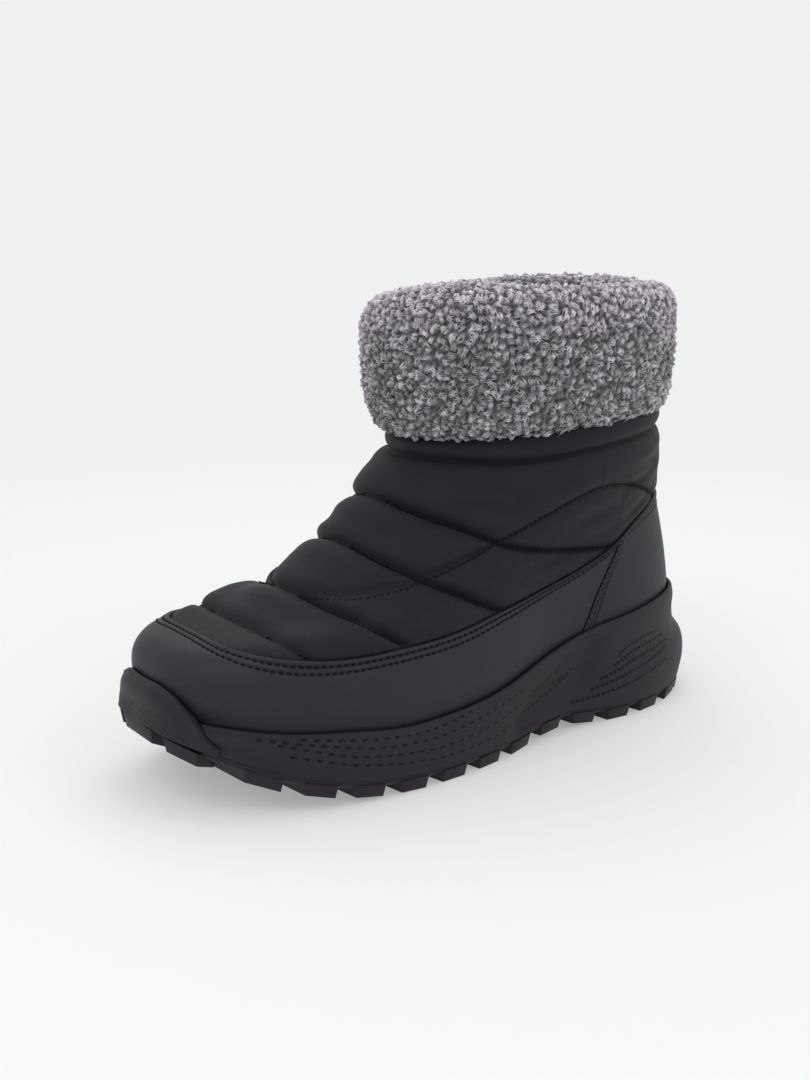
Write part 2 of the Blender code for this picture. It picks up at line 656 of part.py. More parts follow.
def make_cuff(finish_of, parent):
    """Turned-down fleece: a hollow ring that caps the collar, its locks raised in staggered rows."""
    column = np.arange(CUFF_COLUMNS)
    angle = column * 2 * np.pi / CUFF_COLUMNS
    rng = np.random.default_rng(LOCK_SEED)
    station = upper_surface(angle, np.full(CUFF_COLUMNS, TOP_LEVEL))[:, 1]
    hem = line(HEM, station)
    top = curve(np.degrees(angle), CUFF_RIM["turn"], CUFF_RIM["height"])
    thin = 1 - (1 - CUFF_BACK_SHARE) * (1 - np.cos(angle)) / 2
    rings, relief = [], []
    for row, (out, rise, lock) in enumerate(zip(CUFF["out"], CUFF["rise"], CUFF["lock"])):
        raised = ((column + row) % 2) * rng.uniform(LOCK_LEAST, 1, CUFF_COLUMNS) * lock
        distance = out * (thin if out > CUFF_CLEAR else 1) + np.sign(out) * raised * LOCK_RISE
        height = hem + (top - hem) * rise - raised * LOCK_HANG * (rise < LOCKS_HANG_BELOW)
        rings.append(cuff_point(angle, distance, height))
        relief.append(raised)
    low = hem + (top - hem) * CUFF["rise"][-1]
    high = np.full(CUFF_COLUMNS, COLLAR_HEIGHT + GAP)
    within = np.full(CUFF_COLUMNS, -UPPER_WALL - CUFF_CLEAR)
    for share in np.linspace(0, 1, CUFF_FACE_ROWS):
        rings.append(cuff_point(angle, within, low + (high - low) * share))
    low = hem + (top - hem) * CUFF["rise"][0]
    for share in np.linspace(1, 0, CUFF_FACE_ROWS, endpoint=False):
        rings.append(cuff_point(angle, np.full(CUFF_COLUMNS, CUFF_CLEAR), low + (high - low) * share))
    relief += [np.zeros(CUFF_COLUMNS)] * (len(rings) - len(relief))
    return finish("cuff", loft(rings, True, relief), finish_of, parent)


def clear_scene():
    for old in list(bpy.data.objects):
        bpy.data.objects.remove(old, do_unlink=True)


def main():
    clear_scene()
    boot = bpy.data.collections.new("winter_boot")
    bpy.context.scene.collection.children.link(boot)
    parent = bpy.data.objects.new("winter_boot_origin", None)
    boot.objects.link(parent)
    helpers = bpy.data.collections.new("helpers")
    bpy.context.scene.collection.children.link(helpers)
    helper_parent = bpy.data.objects.new("helpers_origin", None)
    helpers.objects.link(helper_parent)
    nylon = material("quilted_nylon", (0.022, 0.021, 0.024), 0.75)
    smooth = material("smooth_overlay", (0.030, 0.029, 0.031), 0.62)
    foam = material("midsole_foam", (0.026, 0.025, 0.027), 0.70)
    rubber = material("sole_rubber", (0.022, 0.022, 0.024), 0.60)
    fleece = material("fleece", (0.19, 0.18, 0.195), 0.95)
    felt = material("insole_felt", (0.16, 0.155, 0.16), 0.95)
    make_upper(nylon, parent)
    make_overlay("mudguard", -COUNTER_COLUMN, COUNTER_COLUMN, smooth, parent)
    make_overlay("heel_counter", COUNTER_COLUMN, COLUMNS - COUNTER_COLUMN, smooth, parent)
    make_midsole(foam, parent)
    make_insole(felt, parent)
    make_bumper(rubber, parent)
    make_outsole(rubber, parent, helper_parent)
    make_cuff(fleece, parent)


main()
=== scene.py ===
"""Looks of a left pull-on winter boot: quilted shell, smooth stitched overlays, sculpted midsole, rubber toe
bumper, lugged outsole and fleece cuff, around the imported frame."""

import math

import bmesh
import bpy
import numpy as np
from mathutils import Matrix, Vector, kdtree


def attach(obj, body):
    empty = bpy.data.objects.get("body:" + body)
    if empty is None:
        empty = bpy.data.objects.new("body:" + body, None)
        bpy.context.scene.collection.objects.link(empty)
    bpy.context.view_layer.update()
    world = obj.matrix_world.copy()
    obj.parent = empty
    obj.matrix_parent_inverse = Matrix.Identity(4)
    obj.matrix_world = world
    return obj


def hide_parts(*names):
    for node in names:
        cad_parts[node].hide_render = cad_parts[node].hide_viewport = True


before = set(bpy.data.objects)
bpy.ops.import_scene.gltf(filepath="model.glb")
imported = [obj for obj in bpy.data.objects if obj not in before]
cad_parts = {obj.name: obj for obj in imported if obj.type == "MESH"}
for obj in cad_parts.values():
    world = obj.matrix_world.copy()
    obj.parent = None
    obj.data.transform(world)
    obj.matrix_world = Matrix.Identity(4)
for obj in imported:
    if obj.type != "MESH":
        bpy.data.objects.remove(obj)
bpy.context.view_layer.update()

MM = 0.001
GAP = 0.3
TURN = 2 * np.pi

# Sizes of the boot, in millimetres, as in the solids. Stations run back from the toe tip, heights run up
# from the floor, and across is positive on the outer (lateral) side.
SOLE_LENGTH = 275.0
BALL_STATION = 95.0
BALL_LATERAL = 57.0
BALL_MEDIAL = 50.0
TOE_SWING = 5.0
SWING_END = 110.0
WAIST_STATION = 175.0
WAIST_SPREAD = 42.0
COLLAR_HEIGHT = 176.0
TOE_SPRING = 25.0
SPRING_END = 104.0
SPRING_POWER = 2.3
ARCH_RISE = 3.0
ARCH_FROM = 141.0
ARCH_TO = 207.0
HEEL_BEVEL = 7.0
BEVEL_FROM = 247.0
LUG_DEPTH = 4.0
TREAD_BASE = 3.2
LUG_ROOT = 1.2
TOE_PROUD = 3.4
UPPER_WALL = 2.4
OVERLAY_WALL = 1.3
MIDSOLE_CLEAR = OVERLAY_WALL + 3 * GAP
RIM_LIP = 1.8
BUMPER_FOOT = 3.0
BUMPER_EDGE = 1.2
BUMPER_BELLY = 1.7
BUMPER_CREST = 1.9
BUMPER_LEAST = 1.0
BUMPER_CLEAR = 0.9
BUMPER_TAPER = 3.0
BUMPER_SEAT = 4
BUMPER_STEPS = 7
BUMPER_TURN = 0.59
COLUMNS = 60
COUNTER_COLUMN = 20
COUNTER_LEAN = 2.5
LEAN_SPREAD = 6.0
END_GAP = 0.03
EVEN_SHARE = 0.75
CUFF_BACK_SHARE = 0.38
CUFF_CLEAR = 0.4

# Steps of the tables that the forms are read from.
SPACING_STEPS = 721
LEVEL_STEPS = 400
LEVEL_ANGLES = 720
NUDGE = 0.001


def table(columns, rows):
    """Named columns of a short table, as arrays."""
    return dict(zip(columns.split(), np.array(rows, float).T))


UPPER = table(
    "level front front_z back back_z lateral medial widest front_round back_round sag",
    [
        (0, 10, 32, 259, 31, 50, 43, 95, 2.60, 2.70, 8),
        (1, 6, 46, 260.5, 50, 53, 46, 95, 2.60, 2.70, 7),
        (2, 8, 55.2, 259.5, 66, 51, 45, 97, 2.60, 2.65, 3),
        (3, 17, 59.8, 258, 79, 47, 41, 105, 2.50, 2.60, 2),
        (4, 45, 63, 256.5, 91, 43, 37, 127, 2.30, 2.45, 0),
        (5, 67, 74.5, 255, 103, 42, 37, 155, 2.15, 2.30, 0),
        (6, 91.5, 91, 253.5, 115, 43, 40, 178, 2.05, 2.20, 0),
        (7, 110, 109.5, 251.5, 126, 45, 43, 184, 2.00, 2.10, 0),
        (8, 124, 125, 250, 137, 46, 46, 187, 2.00, 2.05, 0),
        (9, 126, 152, 249, 154, 46, 47, 188, 2.05, 2.05, 0),
        (10, 126, COLLAR_HEIGHT, 249, COLLAR_HEIGHT, 46, 47, 188, 2.05, 2.05, 0),
    ],
)
EGG_SIZES = ("front", "back", "widest", "lateral", "medial", "front_round", "back_round")
TOP_LEVEL = UPPER["level"][-1]
SHAFT_LEVEL = 6.0
FOOT_LEVEL = 1

PINCH = table(
    "level lateral medial",
    [(0, 0.15, 0.24), (2, 0.13, 0.20), (4, 0.04, 0.06), (6, 0, 0), (TOP_LEVEL, 0, 0)],
)
EDGE_SIZES = (
    "front", "back", "lateral", "medial", "widest", "front_round", "back_round", "pinch_out", "pinch_in",
)
TREAD_EDGE = (3, 271, BALL_LATERAL - 2, BALL_MEDIAL - 2, BALL_STATION, 2.70, 2.80, 0.20, 0.27)
SIDE_EDGE = (3.4, SOLE_LENGTH, BALL_LATERAL, BALL_MEDIAL, BALL_STATION, 2.70, 2.80, 0.19, 0.26)
RIM = table("station height", [
    (0, 37), (20, 34.5), (40, 31.5), (60, 29.5), (85, 26.5), (110, 27.5), (130, 30), (164, 39.5),
    (187, 44.5), (210, 47), (240, 50), (275, 50.5),
])
SIDE = table("rise forefoot heel", [
    (0, 0.80, 0.66), (0.2, 0.97, 0.84), (0.4, 1.0, 0.72), (0.6, 0.9, 0.16), (0.78, 0.62, 0.05),
    (0.92, 0.3, 0.08), (1, 0, 0),
])
SIDE_FROM = 145.0
SIDE_TO = 210.0
OVERLAY_EDGE = table("station height", [
    (0, 61.6), (15, 62.1), (30, 59.7), (50, 57.5), (85, 57.5), (110, 59), (135, 62.5), (160, 66.5),
    (186, 72), (205, 78), (220, 85), (240, 92), (275, 97),
])
HEM = table("station height", [(105, 127.5), (150, 132.5), (195, 136), (275, 139)])
BUMPER = table("out height", [(0, 17), (0.33, 16.6), (0.5, 14.8), (0.67, 10.3), (0.83, 5.6), (1, 1.8)])
INSOLE = table("inset rise", [(1.2, 0), (0.3, 0.4), (0, 1.2), (0, 2.8), (0.3, 3.6), (1.0, 4.0), (4, 3.8)])
CUFF_RIM = table("turn height", [
    (-30, 183.5), (0, 187), (30, 190.5), (60, 189.5), (120, 188), (150, 186.2), (180, 187.5), (210, 188.5),
    (240, 188), (270, 186), (300, 184), (330, 183.5), (360, 187), (390, 190.5),
])
CUFF = table("out rise lock", [
    (CUFF_CLEAR, 0.03, 0), (4.5, 0.0, 0.7), (8, 0.06, 1), (10.5, 0.17, 1), (12, 0.30, 1), (12.6, 0.43, 1),
    (13, 0.56, 1), (13, 0.69, 1), (12.5, 0.81, 1), (10, 0.92, 1), (5, 0.985, 0.8), (-1, 1.0, 0.6),
    (-6, 0.95, 0.6), (-8.5, 0.84, 0.4), (-8.8, 0.66, 0.3), (-8, 0.48, 0.2), (-UPPER_WALL - 2, 0.44, 0),
])

# Quilting seams in side view, as points (station, height) from the crest down and back, how deep each is,
# and which are only folded.
QUILT_SEAMS = {
    "toe": [(35, 72), (38, 66), (42, 63), (48, 58)],
    "ball": [(62, 79), (65, 72), (74, 66), (87, 58)],
    "instep": [(87, 94), (91, 86), (104, 78), (120, 70), (136, 62.5)],
    "ankle": [(104, 108), (110, 102), (126, 95), (139, 89), (150, 85.5), (170, 81.5), (205, 77)],
    "sweep": [(65, 72), (77, 73.5), (103, 78), (125, 85), (160, 97), (179, 103.6), (193, 106.2), (208, 105),
              (226, 100.6), (245, 93)],
    "neck": [(112, 120.5), (150, 120.7), (190, 124), (255, 128)],
}
SEAM_DEPTHS = {"sweep": 0.6}
FOLDED_SEAMS = ("neck",)

# Quilting: padding height in front and behind, how wide its flanks are over and under a seam, how flat and
# round the bottom of a seam is, how wide the shade painted dark along it is, its notch, and the puckers
# that the thread pulls beside it.
PUFF_FRONT = 3.9
PUFF_BACK = 2.4
SLACK_FROM = 100.0
SLACK_TO = 175.0
TOE_FROM = 22.0
TOE_TO = 60.0
TOE_SHARE = 0.3
FLANK_OVER = 5.0
FLANK_UNDER = 9.0
FLANK_EDGE = 6.0
FLANK_HEM = 8.0
SEAM_ROUND = 0.3
SEAM_FLAT = 0.65
SEAM_STEPS = 48
SEAM_SHADE_HALF = 1.0
NOTCH_DEPTH = 0.6
NOTCH_HALF = 1.6
PUCKER_HEIGHT = 0.07
PUCKER_REACH = 4.0
PUCKER_CLEAR = 1.4
PUCKER_LENGTHS = (6.5, 9.7, 4.3)

# Creases of the shell in side view: from and to (station, height), depth in and half width, both sides, and
# the ridges beside them.
CREASES = table("station height to_station to_height depth half", [
    (208, 103, 232, 108.5, 1.1, 2.2),
    (214, 110, 244, 116, 0.9, 2.8),
    (118, 113, 150, 109, 0.85, 3.0),
    (128, 103, 158, 99, 0.85, 2.8),
    (150, 113, 186, 114.5, 0.8, 3.2),
    (176, 92, 206, 97, 1.0, 2.8),
    (214, 90, 236, 97, 0.9, 2.4),
    (96, 92, 116, 88, 0.7, 2.8),
    (150, 76, 182, 79, 0.8, 2.2),
    (148, 69, 178, 72.5, 0.8, 2.2),
    (70, 77, 92, 79.5, 0.4, 3.0),
])
CREASE_RIDGE = 0.45
CREASE_END = 0.02

# Resolution of the dressed surfaces, and how many rows the inner faces of panels and bumper step over.
SHELL_COLUMNS = 500
FOOT_ROWS = 2
OVERLAY_ROWS = 2
QUILT_ROWS = 156
SHAFT_ROWS = 2
LINING_ROWS = 24
PATH_STEPS = 140
MUDGUARD_COLUMNS = 460
COUNTER_COLUMNS = 300
PANEL_ROWS = 26
PANEL_FOOT = 1.667
PANEL_INNER = 4
SIDE_COLUMNS = 560
SIDE_ROWS = 48
UNROLL_ROW = SIDE_ROWS // 3
INSOLE_COLUMNS = 4 * COLUMNS
BUMPER_COLUMNS = 150
BUMPER_ROWS = 60
BUMPER_INNER = 6

# Folded and stitched edge of an overlay: the roll of its lip, the ridge behind it, two stitch grooves, and
# the raised strip down each end of the counter.
LIP_ROLL = 0.9
LIP_START = 0.05
RIDGE = 0.40
RIDGE_AT = 1.1
RIDGE_HALF = 0.8
GROOVES = (2.5, 5.1)
GROOVE_DEPTH = 0.45
GROOVE_HALF = 0.55
EDGE_STEPS = np.array([
    0, 0.1, 0.25, 0.45, 0.7, 1.0, 1.4, 1.8, 2.1, 2.35, 2.6, 2.9, 3.3, 3.8, 4.3, 4.7, 5.0, 5.3, 5.7, 6.1,
    6.5, 7.2,
])
STEP_LEVEL = 2.0
STRIP_WIDTH = 5.2
STRIP_RISE = 0.6
STRIP_EDGE = 0.5
STRIP_DARK = 0.75
STRIP_GROOVE = 1.0
STRIP_GROOVES = (1.5, 3.6)
STRIP_FADE = 2.0
STRIP_TOP = 1.0
STRIP_FOOT = 8.0

# Stitches: pitch, length and radius on overlays and in seams, how deep they sink, and their rounded form.
EDGE_STITCH = (2.9, 2.1, 0.36)
SEAM_STITCH = (2.7, 2.0, 0.36)
EDGE_SINK = 0.15
STRIP_SINK = 0.2
SEAM_LIFT = 0.25
SEAM_SEARCH = 1.9
SEAM_FOUND = 0.5
STITCH_RINGS = table("along radius lift", [
    (-1, 0.2, -0.9), (-0.7, 0.85, -0.1), (0, 1, 0.25), (0.7, 0.85, -0.1), (1, 0.2, -0.9),
])
STITCH_SIDES = 6

# Slots of the midsole's side, drawn as thin dark plates of painted shadow just proud of it: rows as
# (station, height), and their length, pitch and half width, from dashes in front to dots at the arch and on
# the heel;
# the valley under the arch, and the rolled rim.
DASH_ROWS = {
    "fore_1": [(36, 24.3), (52, 20), (63, 17), (82, 13.8), (99, 12), (112, 12), (132, 13.2), (152, 16.5),
               (171, 22), (184, 29)],
    "fore_2": [(29, 29), (37, 27.2), (52, 23), (63, 20.2), (82, 17.5), (99, 16.2), (112, 16.8), (132, 19),
               (151, 23), (170, 29), (182, 36)],
    "fore_3": [(24, 31), (40, 28), (55, 25), (67, 22.6), (82, 20.8), (99, 20.6), (115, 22), (132, 24.5),
               (151, 28.5)],
    "fore_4": [(36, 30), (57, 27), (70, 25.2), (86, 23.8), (100, 24), (116, 26), (132, 28.5)],
    "heel_1": [(210, 30), (218, 33.6), (230, 35.6), (243, 36.2)],
    "heel_2": [(202, 25.4), (212, 28.3), (226, 31.6), (245, 33)],
    "heel_3": [(194, 21.2), (206, 23.8), (222, 27.5), (245, 29.8)],
    "heel_4": [(186, 17), (200, 19), (218, 22.5), (243, 27.5)],
    "heel_5": [(178, 13.8), (195, 14.4), (212, 16.5), (240, 22)],
}
FORE_DASH = np.array([1.7, 5.0, 0.42])
ARCH_DOT = np.array([0.9, 3.0, 0.5])
HEEL_DOT = np.array([1.0, 2.8, 0.66])
DOTS_FROM = 122.0
DOTS_TO = 165.0
ROW_START = 1.7
ROW_SHIFT = 2.5
SLOT_PROUD = 0.04
SLOT_TURNS = 7
VALLEY = ((150, 12), (165, 20), (184, 28), (194, 40))
VALLEY_DEPTH = 2.7
VALLEY_HALF = 8.0
VALLEY_FADE = 0.12
RIM_ROLL = 0.9
RIM_TURNS = 8
INNER_LEVELS = (0.66, 0.33, 0)

# Rounded edges of the toe bumper, the bead along its top and the ribs on its lower band.
BUMPER_ROLL = 0.8
EDGE_START = 0.1
FOOT_START = 0.4
BUMPER_BEAD = 0.45
BEAD_AT = 0.9
BEAD_HALF = 0.5
RIB_PITCH = 1.7
RIB_HEIGHT = 0.34
RIB_LEAN = 0.6
RIB_TOP = 0.5
RIB_FADE = 0.2
RIB_FOOT = 0.05

# Rounding of the tread's edges.
LUG_BEVEL = 0.5
BEVEL_SEGMENTS = 2
BEVEL_PROFILE = 0.5
SHARP = math.radians(32)
FLAT = math.radians(0.5)
WELD = 1e-6

# Fleece: how far apart, long, high and wide its locks are, how they lie and curl, their fibres and shades;
# the shades paint shade at the roots, between locks and on lower locks, and a highlight along the crest,
# besides uneven tone.
FLEECE_SEED = 11
FLEECE_COLUMNS = 330
FACE_ROWS = 62
INNER_ROWS = 22
CREST_STEP = 11.0
LOCK_EDGE = 0.4
FLEECE_PLUMP = 0.8
CLUMP_RISE = 0.45
CLUMP_LENGTHS = (17.0, 11.0, 8.0)
CLUMP_WAYS = np.array([(1.0, 0.7, -0.9), (-0.6, 1.0, 0.8), (0.9, -0.5, 1.0)])
LOCK_SPACING = 2.25
DOME_RADIUS = 1.9
DOME_CRACK = 1.0
DOME_RISE = 1.1
DOME_LEAST = 0.5
# The pile's ground is painted darker between the locks, as shade.
GROUND_SHADE = 0.4
LOCK_LENGTHS = (2.2, 3.6)
LOCK_HEIGHTS = (0.4, 2.2)
LOCK_HALF = 0.95
LOCK_ROUND = 0.4
LOCK_TIP = 0.6
LOCK_CURL = 0.55
CURL_LEAST = 0.3
LOCK_ROOT = 0.3
LOCK_BOW = 0.8
LOCK_TURN = 1.2
FLOW_TURN = 2.4
FRIZZ_TURN = 0.55
FRIZZ_LIFT = (0.3, 0.6)
FIBRE_LENGTHS = (0.8, 1.15)
FIBRE_STRAY = 0.2
FIBRES_OUTSIDE = 10
FIBRES_INSIDE = 5
FIBRE_RADIUS = 0.17
FIBRE_SIDES = 3
# Fibres are painted dark at the root as shade and light towards the tip.
FIBRE_STEPS = table("along radius light", [(0, 1.0, 0.2), (0.5, 1.0, 0.8), (1, 0.45, 1.05)])
HANG_STEP = 2.2
HANG_LENGTH = 0.7
HANG_CALM = 0.7
# Lower locks painted darker as shade, crest locks paler as a painted highlight, besides uneven tone.
PALE_LEAST = 0.52
PALE_RISE = 0.3
PALE_CREST = 0.45
PALE_HALF = 2.5
CLUMP_SHADE = 0.22
SHADE_STRAY = 0.1
SHADE_LIMITS = (0.1, 1.2)
LOCK_PIECES = (
    ("fleece_locks_lower", LOCK_EDGE, 4.8, FIBRES_OUTSIDE),
    ("fleece_locks_middle", 4.8, 8.2, FIBRES_OUTSIDE),
    ("fleece_locks_upper", 8.2, 12.0, FIBRES_OUTSIDE),
    ("fleece_locks_inside", 12.0, len(CUFF["out"]) - 1 - LOCK_EDGE, FIBRES_INSIDE),
)


# Forms

def unit(vectors):
    return vectors / np.linalg.norm(vectors, axis=-1, keepdims=True)


def travelled(points):
    """Distance along paths of points, from their start."""
    steps = np.linalg.norm(np.diff(points, axis=0), axis=-1)
    return np.concatenate([np.zeros_like(steps[:1]), np.cumsum(steps, axis=0)])


def quarter_round(share):
    """Quarter-circle rise from 0 to 1."""
    short = 1 - np.clip(share, 0, 1)
    return np.sqrt(1 - short * short)


def smooth_step(share):
    share = np.clip(share, 0, 1)
    return share * share * (3 - 2 * share)


def hump(at, centre, half):
    return np.exp(-(((at - centre) / half) ** 2))


def blend(low, high, share):
    return low + (high - low) * share


def curve(at, knots, values):
    """Smooth curve through the knots, level beyond its ends."""
    slopes = np.gradient(values, knots)
    at = np.clip(at, knots[0], knots[-1])
    i = np.clip(np.searchsorted(knots, at, side="right") - 1, 0, len(knots) - 2)
    step = knots[i + 1] - knots[i]
    t = (at - knots[i]) / step
    u = 1 - t
    ends = (1 + 2 * t) * u * u * values[i] + t * t * (3 - 2 * t) * values[i + 1]
    return ends + t * u * step * (u * slopes[i] - t * slopes[i + 1])


def line(edge, at):
    """Height of a side-view line at these stations."""
    return curve(at, edge["station"], edge["height"])


def egg(angle, front, back, widest, lateral, medial, front_round, back_round):
    """Station and across of a closed egg; angle 0 is the toe, a quarter turn the lateral side."""
    ahead, aside = np.cos(angle), np.sin(angle)
    power = 2 / np.where(ahead > 0, front_round, back_round)
    reach = np.where(ahead > 0, widest - front, back - widest)
    half = np.where(aside > 0, lateral, medial)
    station = widest - np.sign(ahead) * reach * np.abs(ahead) ** power
    return station, np.sign(aside) * half * np.abs(aside) ** power


def last_bend(station, across, pinch_out, pinch_in):
    """Pinches the waist and swings the toe towards the inner side."""
    pinch = np.where(across > 0, pinch_out, pinch_in)
    swing = TOE_SWING * np.clip(1 - station / SWING_END, 0, 1) ** 2
    return across * (1 - pinch * hump(station, WAIST_STATION, WAIST_SPREAD)) - swing


def upper_surface(angle, level):
    """Point (across, station, height) on the upper, before quilting."""
    angle, level = np.broadcast_arrays(np.asarray(angle, float), np.asarray(level, float))
    row = {name: curve(level, UPPER["level"], UPPER[name]) for name in UPPER}
    station, across = egg(angle, **{name: row[name] for name in EGG_SIZES})
    along = (station - row["front"]) / (row["back"] - row["front"])
    height = blend(row["front_z"], row["back_z"], along) - row["sag"] * np.sin(np.pi * along)
    pinches = [curve(level, PINCH["level"], PINCH[name]) for name in ("lateral", "medial")]
    return np.stack([last_bend(station, across, *pinches), station, height], axis=-1)


def upper_normal(angle, level):
    """Outward normal of the upper."""
    around = upper_surface(angle + NUDGE, level) - upper_surface(angle - NUDGE, level)
    above = np.minimum(np.asarray(level) + NUDGE, TOP_LEVEL)
    below = np.maximum(np.asarray(level) - NUDGE, 0)
    return unit(np.cross(around, upper_surface(angle, above) - upper_surface(angle, below)))


def upper_offset(angle, level, distance):
    """Point on the upper, moved out by a distance along its normal."""
    return upper_surface(angle, level) + upper_normal(angle, level) * np.asarray(distance)[..., None]


def level_at(angle, height_of):
    """Level at which each column of the upper crosses a side-view line."""
    levels = np.linspace(0, TOP_LEVEL, LEVEL_STEPS)
    points = upper_surface(np.asarray(angle)[:, None], levels)
    above = points[..., 2] - height_of(points[..., 1])
    return np.array([np.interp(0, np.maximum.accumulate(column), levels) for column in above])


def level_of(edge):
    """Function that gives the level of a side-view line at any angle, read from a table around the boot."""
    turn = np.linspace(0, TURN, LEVEL_ANGLES, endpoint=False)
    levels = level_at(turn, lambda station: line(edge, station))
    return lambda angle: np.interp(angle, turn, levels, period=TURN)


rim_level = level_of(RIM)
edge_level = level_of(OVERLAY_EDGE)
hem_level = level_of(HEM)


def tread_height(station):
    """Height of the lugs' lower faces: toe spring, flat forefoot, arch, flat heel, heel bevel."""
    spring = TOE_SPRING * np.clip(1 - station / SPRING_END, 0, 1) ** SPRING_POWER
    arch = ARCH_RISE * np.sin(np.pi * np.clip((station - ARCH_FROM) / (ARCH_TO - ARCH_FROM), 0, 1)) ** 2
    bevel = HEEL_BEVEL * np.clip((station - BEVEL_FROM) / (SOLE_LENGTH - BEVEL_FROM), 0, 1) ** 2
    return spring + arch + bevel


def parting_height(station):
    """Height at which the midsole meets the outsole."""
    return tread_height(station) + LUG_DEPTH + TREAD_BASE


def outline(angle, edge, inset=0):
    """Station and across of one of the sole's outlines, drawn in by an inset."""
    size = dict(zip(EDGE_SIZES, edge))
    size["front"] += inset
    for name in ("back", "lateral", "medial"):
        size[name] -= inset
    pinches = size.pop("pinch_out"), size.pop("pinch_in")
    station, across = egg(angle, **size)
    return station, last_bend(station, across, *pinches)


def midsole_side(angle, rise):
    """Points on the midsole's side, rise 0 being the parting line and 1 the rim."""
    rim = upper_offset(angle, rim_level(angle), MIDSOLE_CLEAR + RIM_LIP)
    station, across = outline(angle, SIDE_EDGE)
    heel = np.clip((station - SIDE_FROM) / (SIDE_TO - SIDE_FROM), 0, 1)
    reach = blend(*(curve(rise, SIDE["rise"], SIDE[name]) for name in ("forefoot", "heel")), heel)
    foot_reach = blend(SIDE["forefoot"][0], SIDE["heel"][0], heel)
    foot = parting_height(blend(rim[:, 1], station, foot_reach)) + GAP
    sides = blend(rim[:, 0], across, reach), blend(rim[:, 1], station, reach), blend(foot, rim[:, 2], rise)
    return np.stack(sides, axis=-1)


def column_angle(column):
    """Angle of a column, the columns being spaced partly by turn and partly along the foot's outline."""
    turn = np.linspace(0, TURN, SPACING_STEPS)
    size = {name: UPPER[name][FOOT_LEVEL] for name in EGG_SIZES}
    size["lateral"] = size["medial"] = (size["lateral"] + size["medial"]) / 2
    length = travelled(np.column_stack(egg(turn, **size)))
    share = EVEN_SHARE * length / length[-1] + (1 - EVEN_SHARE) * turn / turn[-1]
    around = np.asarray(column) / COLUMNS
    return np.interp(around % 1, share, turn) + turn[-1] * np.floor(around)


def even_angles(count):
    return column_angle(np.arange(count) * COLUMNS / count)


def leaning_angle(column, lean):
    """Angle of a column; those near the heel counter's front edge lean back by a share of its slant."""
    from_toe = (column + COLUMNS / 2) % COLUMNS - COLUMNS / 2
    from_edge = (np.abs(from_toe) - COUNTER_COLUMN) / LEAN_SPREAD
    slant = COUNTER_LEAN * lean * np.sign(from_toe) * np.clip(1 - np.abs(from_edge), 0, 1)
    return column_angle(column + slant)


# Meshes

def to_frame(points):
    """Metres in the boot's frame: across to +X, toe to -Y, up to +Z."""
    return (np.asarray(points, float).reshape(-1, 3) - (0, SOLE_LENGTH / 2, 0)) * MM


def grid_faces(rows, columns, wrap_rows=False, wrap_columns=True):
    """Quads over a grid of points numbered row by row."""
    index = np.arange(rows * columns).reshape(rows, columns)
    if wrap_columns:
        index = np.hstack([index, index[:, :1]])
    if wrap_rows:
        index = np.vstack([index, index[:1]])
    corners = index[:-1, :-1], index[:-1, 1:], index[1:, 1:], index[1:, :-1]
    return np.stack(corners, axis=-1).reshape(-1, 4).tolist()


def capped_faces(rows, columns, ends=(0, -1)):
    """Quads around a tube of rings, and one face over each of these ends."""
    index = np.arange(rows * columns).reshape(rows, columns)
    return grid_faces(rows, columns) + [index[end].tolist() for end in ends]


def laddered_faces(rows, columns):
    """Quads around a tube of rings, and straight across both of its ends."""
    faces = grid_faces(rows, columns)
    for ring in np.arange(rows * columns).reshape(rows, columns)[[0, -1]].tolist():
        for i in range(columns // 2):
            corners = ring[i], ring[i + 1], ring[(columns - i - 1) % columns], ring[(columns - i) % columns]
            faces.append(list(dict.fromkeys(corners)))
    return faces


def repeated(faces, size, count):
    """Faces of so many like bodies of so many points each."""
    return [[corner + k * size for corner in face] for k in range(count) for face in faces]


def add_piece(name, mesh, node=None):
    """Object of a mesh, riding on the boot."""
    made = bpy.data.objects.new(name, mesh)
    bpy.context.scene.collection.objects.link(made)
    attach(made, "root")
    if node:
        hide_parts(node)
    return made


def make_piece(name, points, faces, finishes, node=None, attributes=None, finish_index=None):
    """Mesh object at these points, smooth-shaded and facing outwards, riding on the boot."""
    mesh = bpy.data.meshes.new(name)
    mesh.from_pydata(to_frame(points).tolist(), [], faces)
    for label, values in (attributes or {}).items():
        values = np.asarray(values, np.float32).ravel()
        mesh.attributes.new(label, "FLOAT", "POINT").data.foreach_set("value", values)
    for finish in finishes:
        mesh.materials.append(finish)
    if finish_index is not None:
        mesh.polygons.foreach_set("material_index", np.asarray(finish_index, np.int32))
    bm = bmesh.new()
    bm.from_mesh(mesh)
    bmesh.ops.recalc_face_normals(bm, faces=bm.faces)
    bm.to_mesh(mesh)
    bm.free()
    mesh.shade_smooth()
    return add_piece(name, mesh, node)


def grid_normals(points):
    """Normals of a grid of points, rows running around the boot."""
    padded = np.concatenate([points[:, -1:], points, points[:, :1]], axis=1)
    return unit(np.cross(padded[:, 2:] - padded[:, :-2], np.gradient(points, axis=0)))


# Quilted shell

def smooth_seam(points):
    """Fine polyline through a seam's points."""
    points = np.array(points, float)
    at = np.linspace(0, len(points) - 1, SEAM_STEPS)
    return np.column_stack([curve(at, np.arange(float(len(points))), column) for column in points.T])


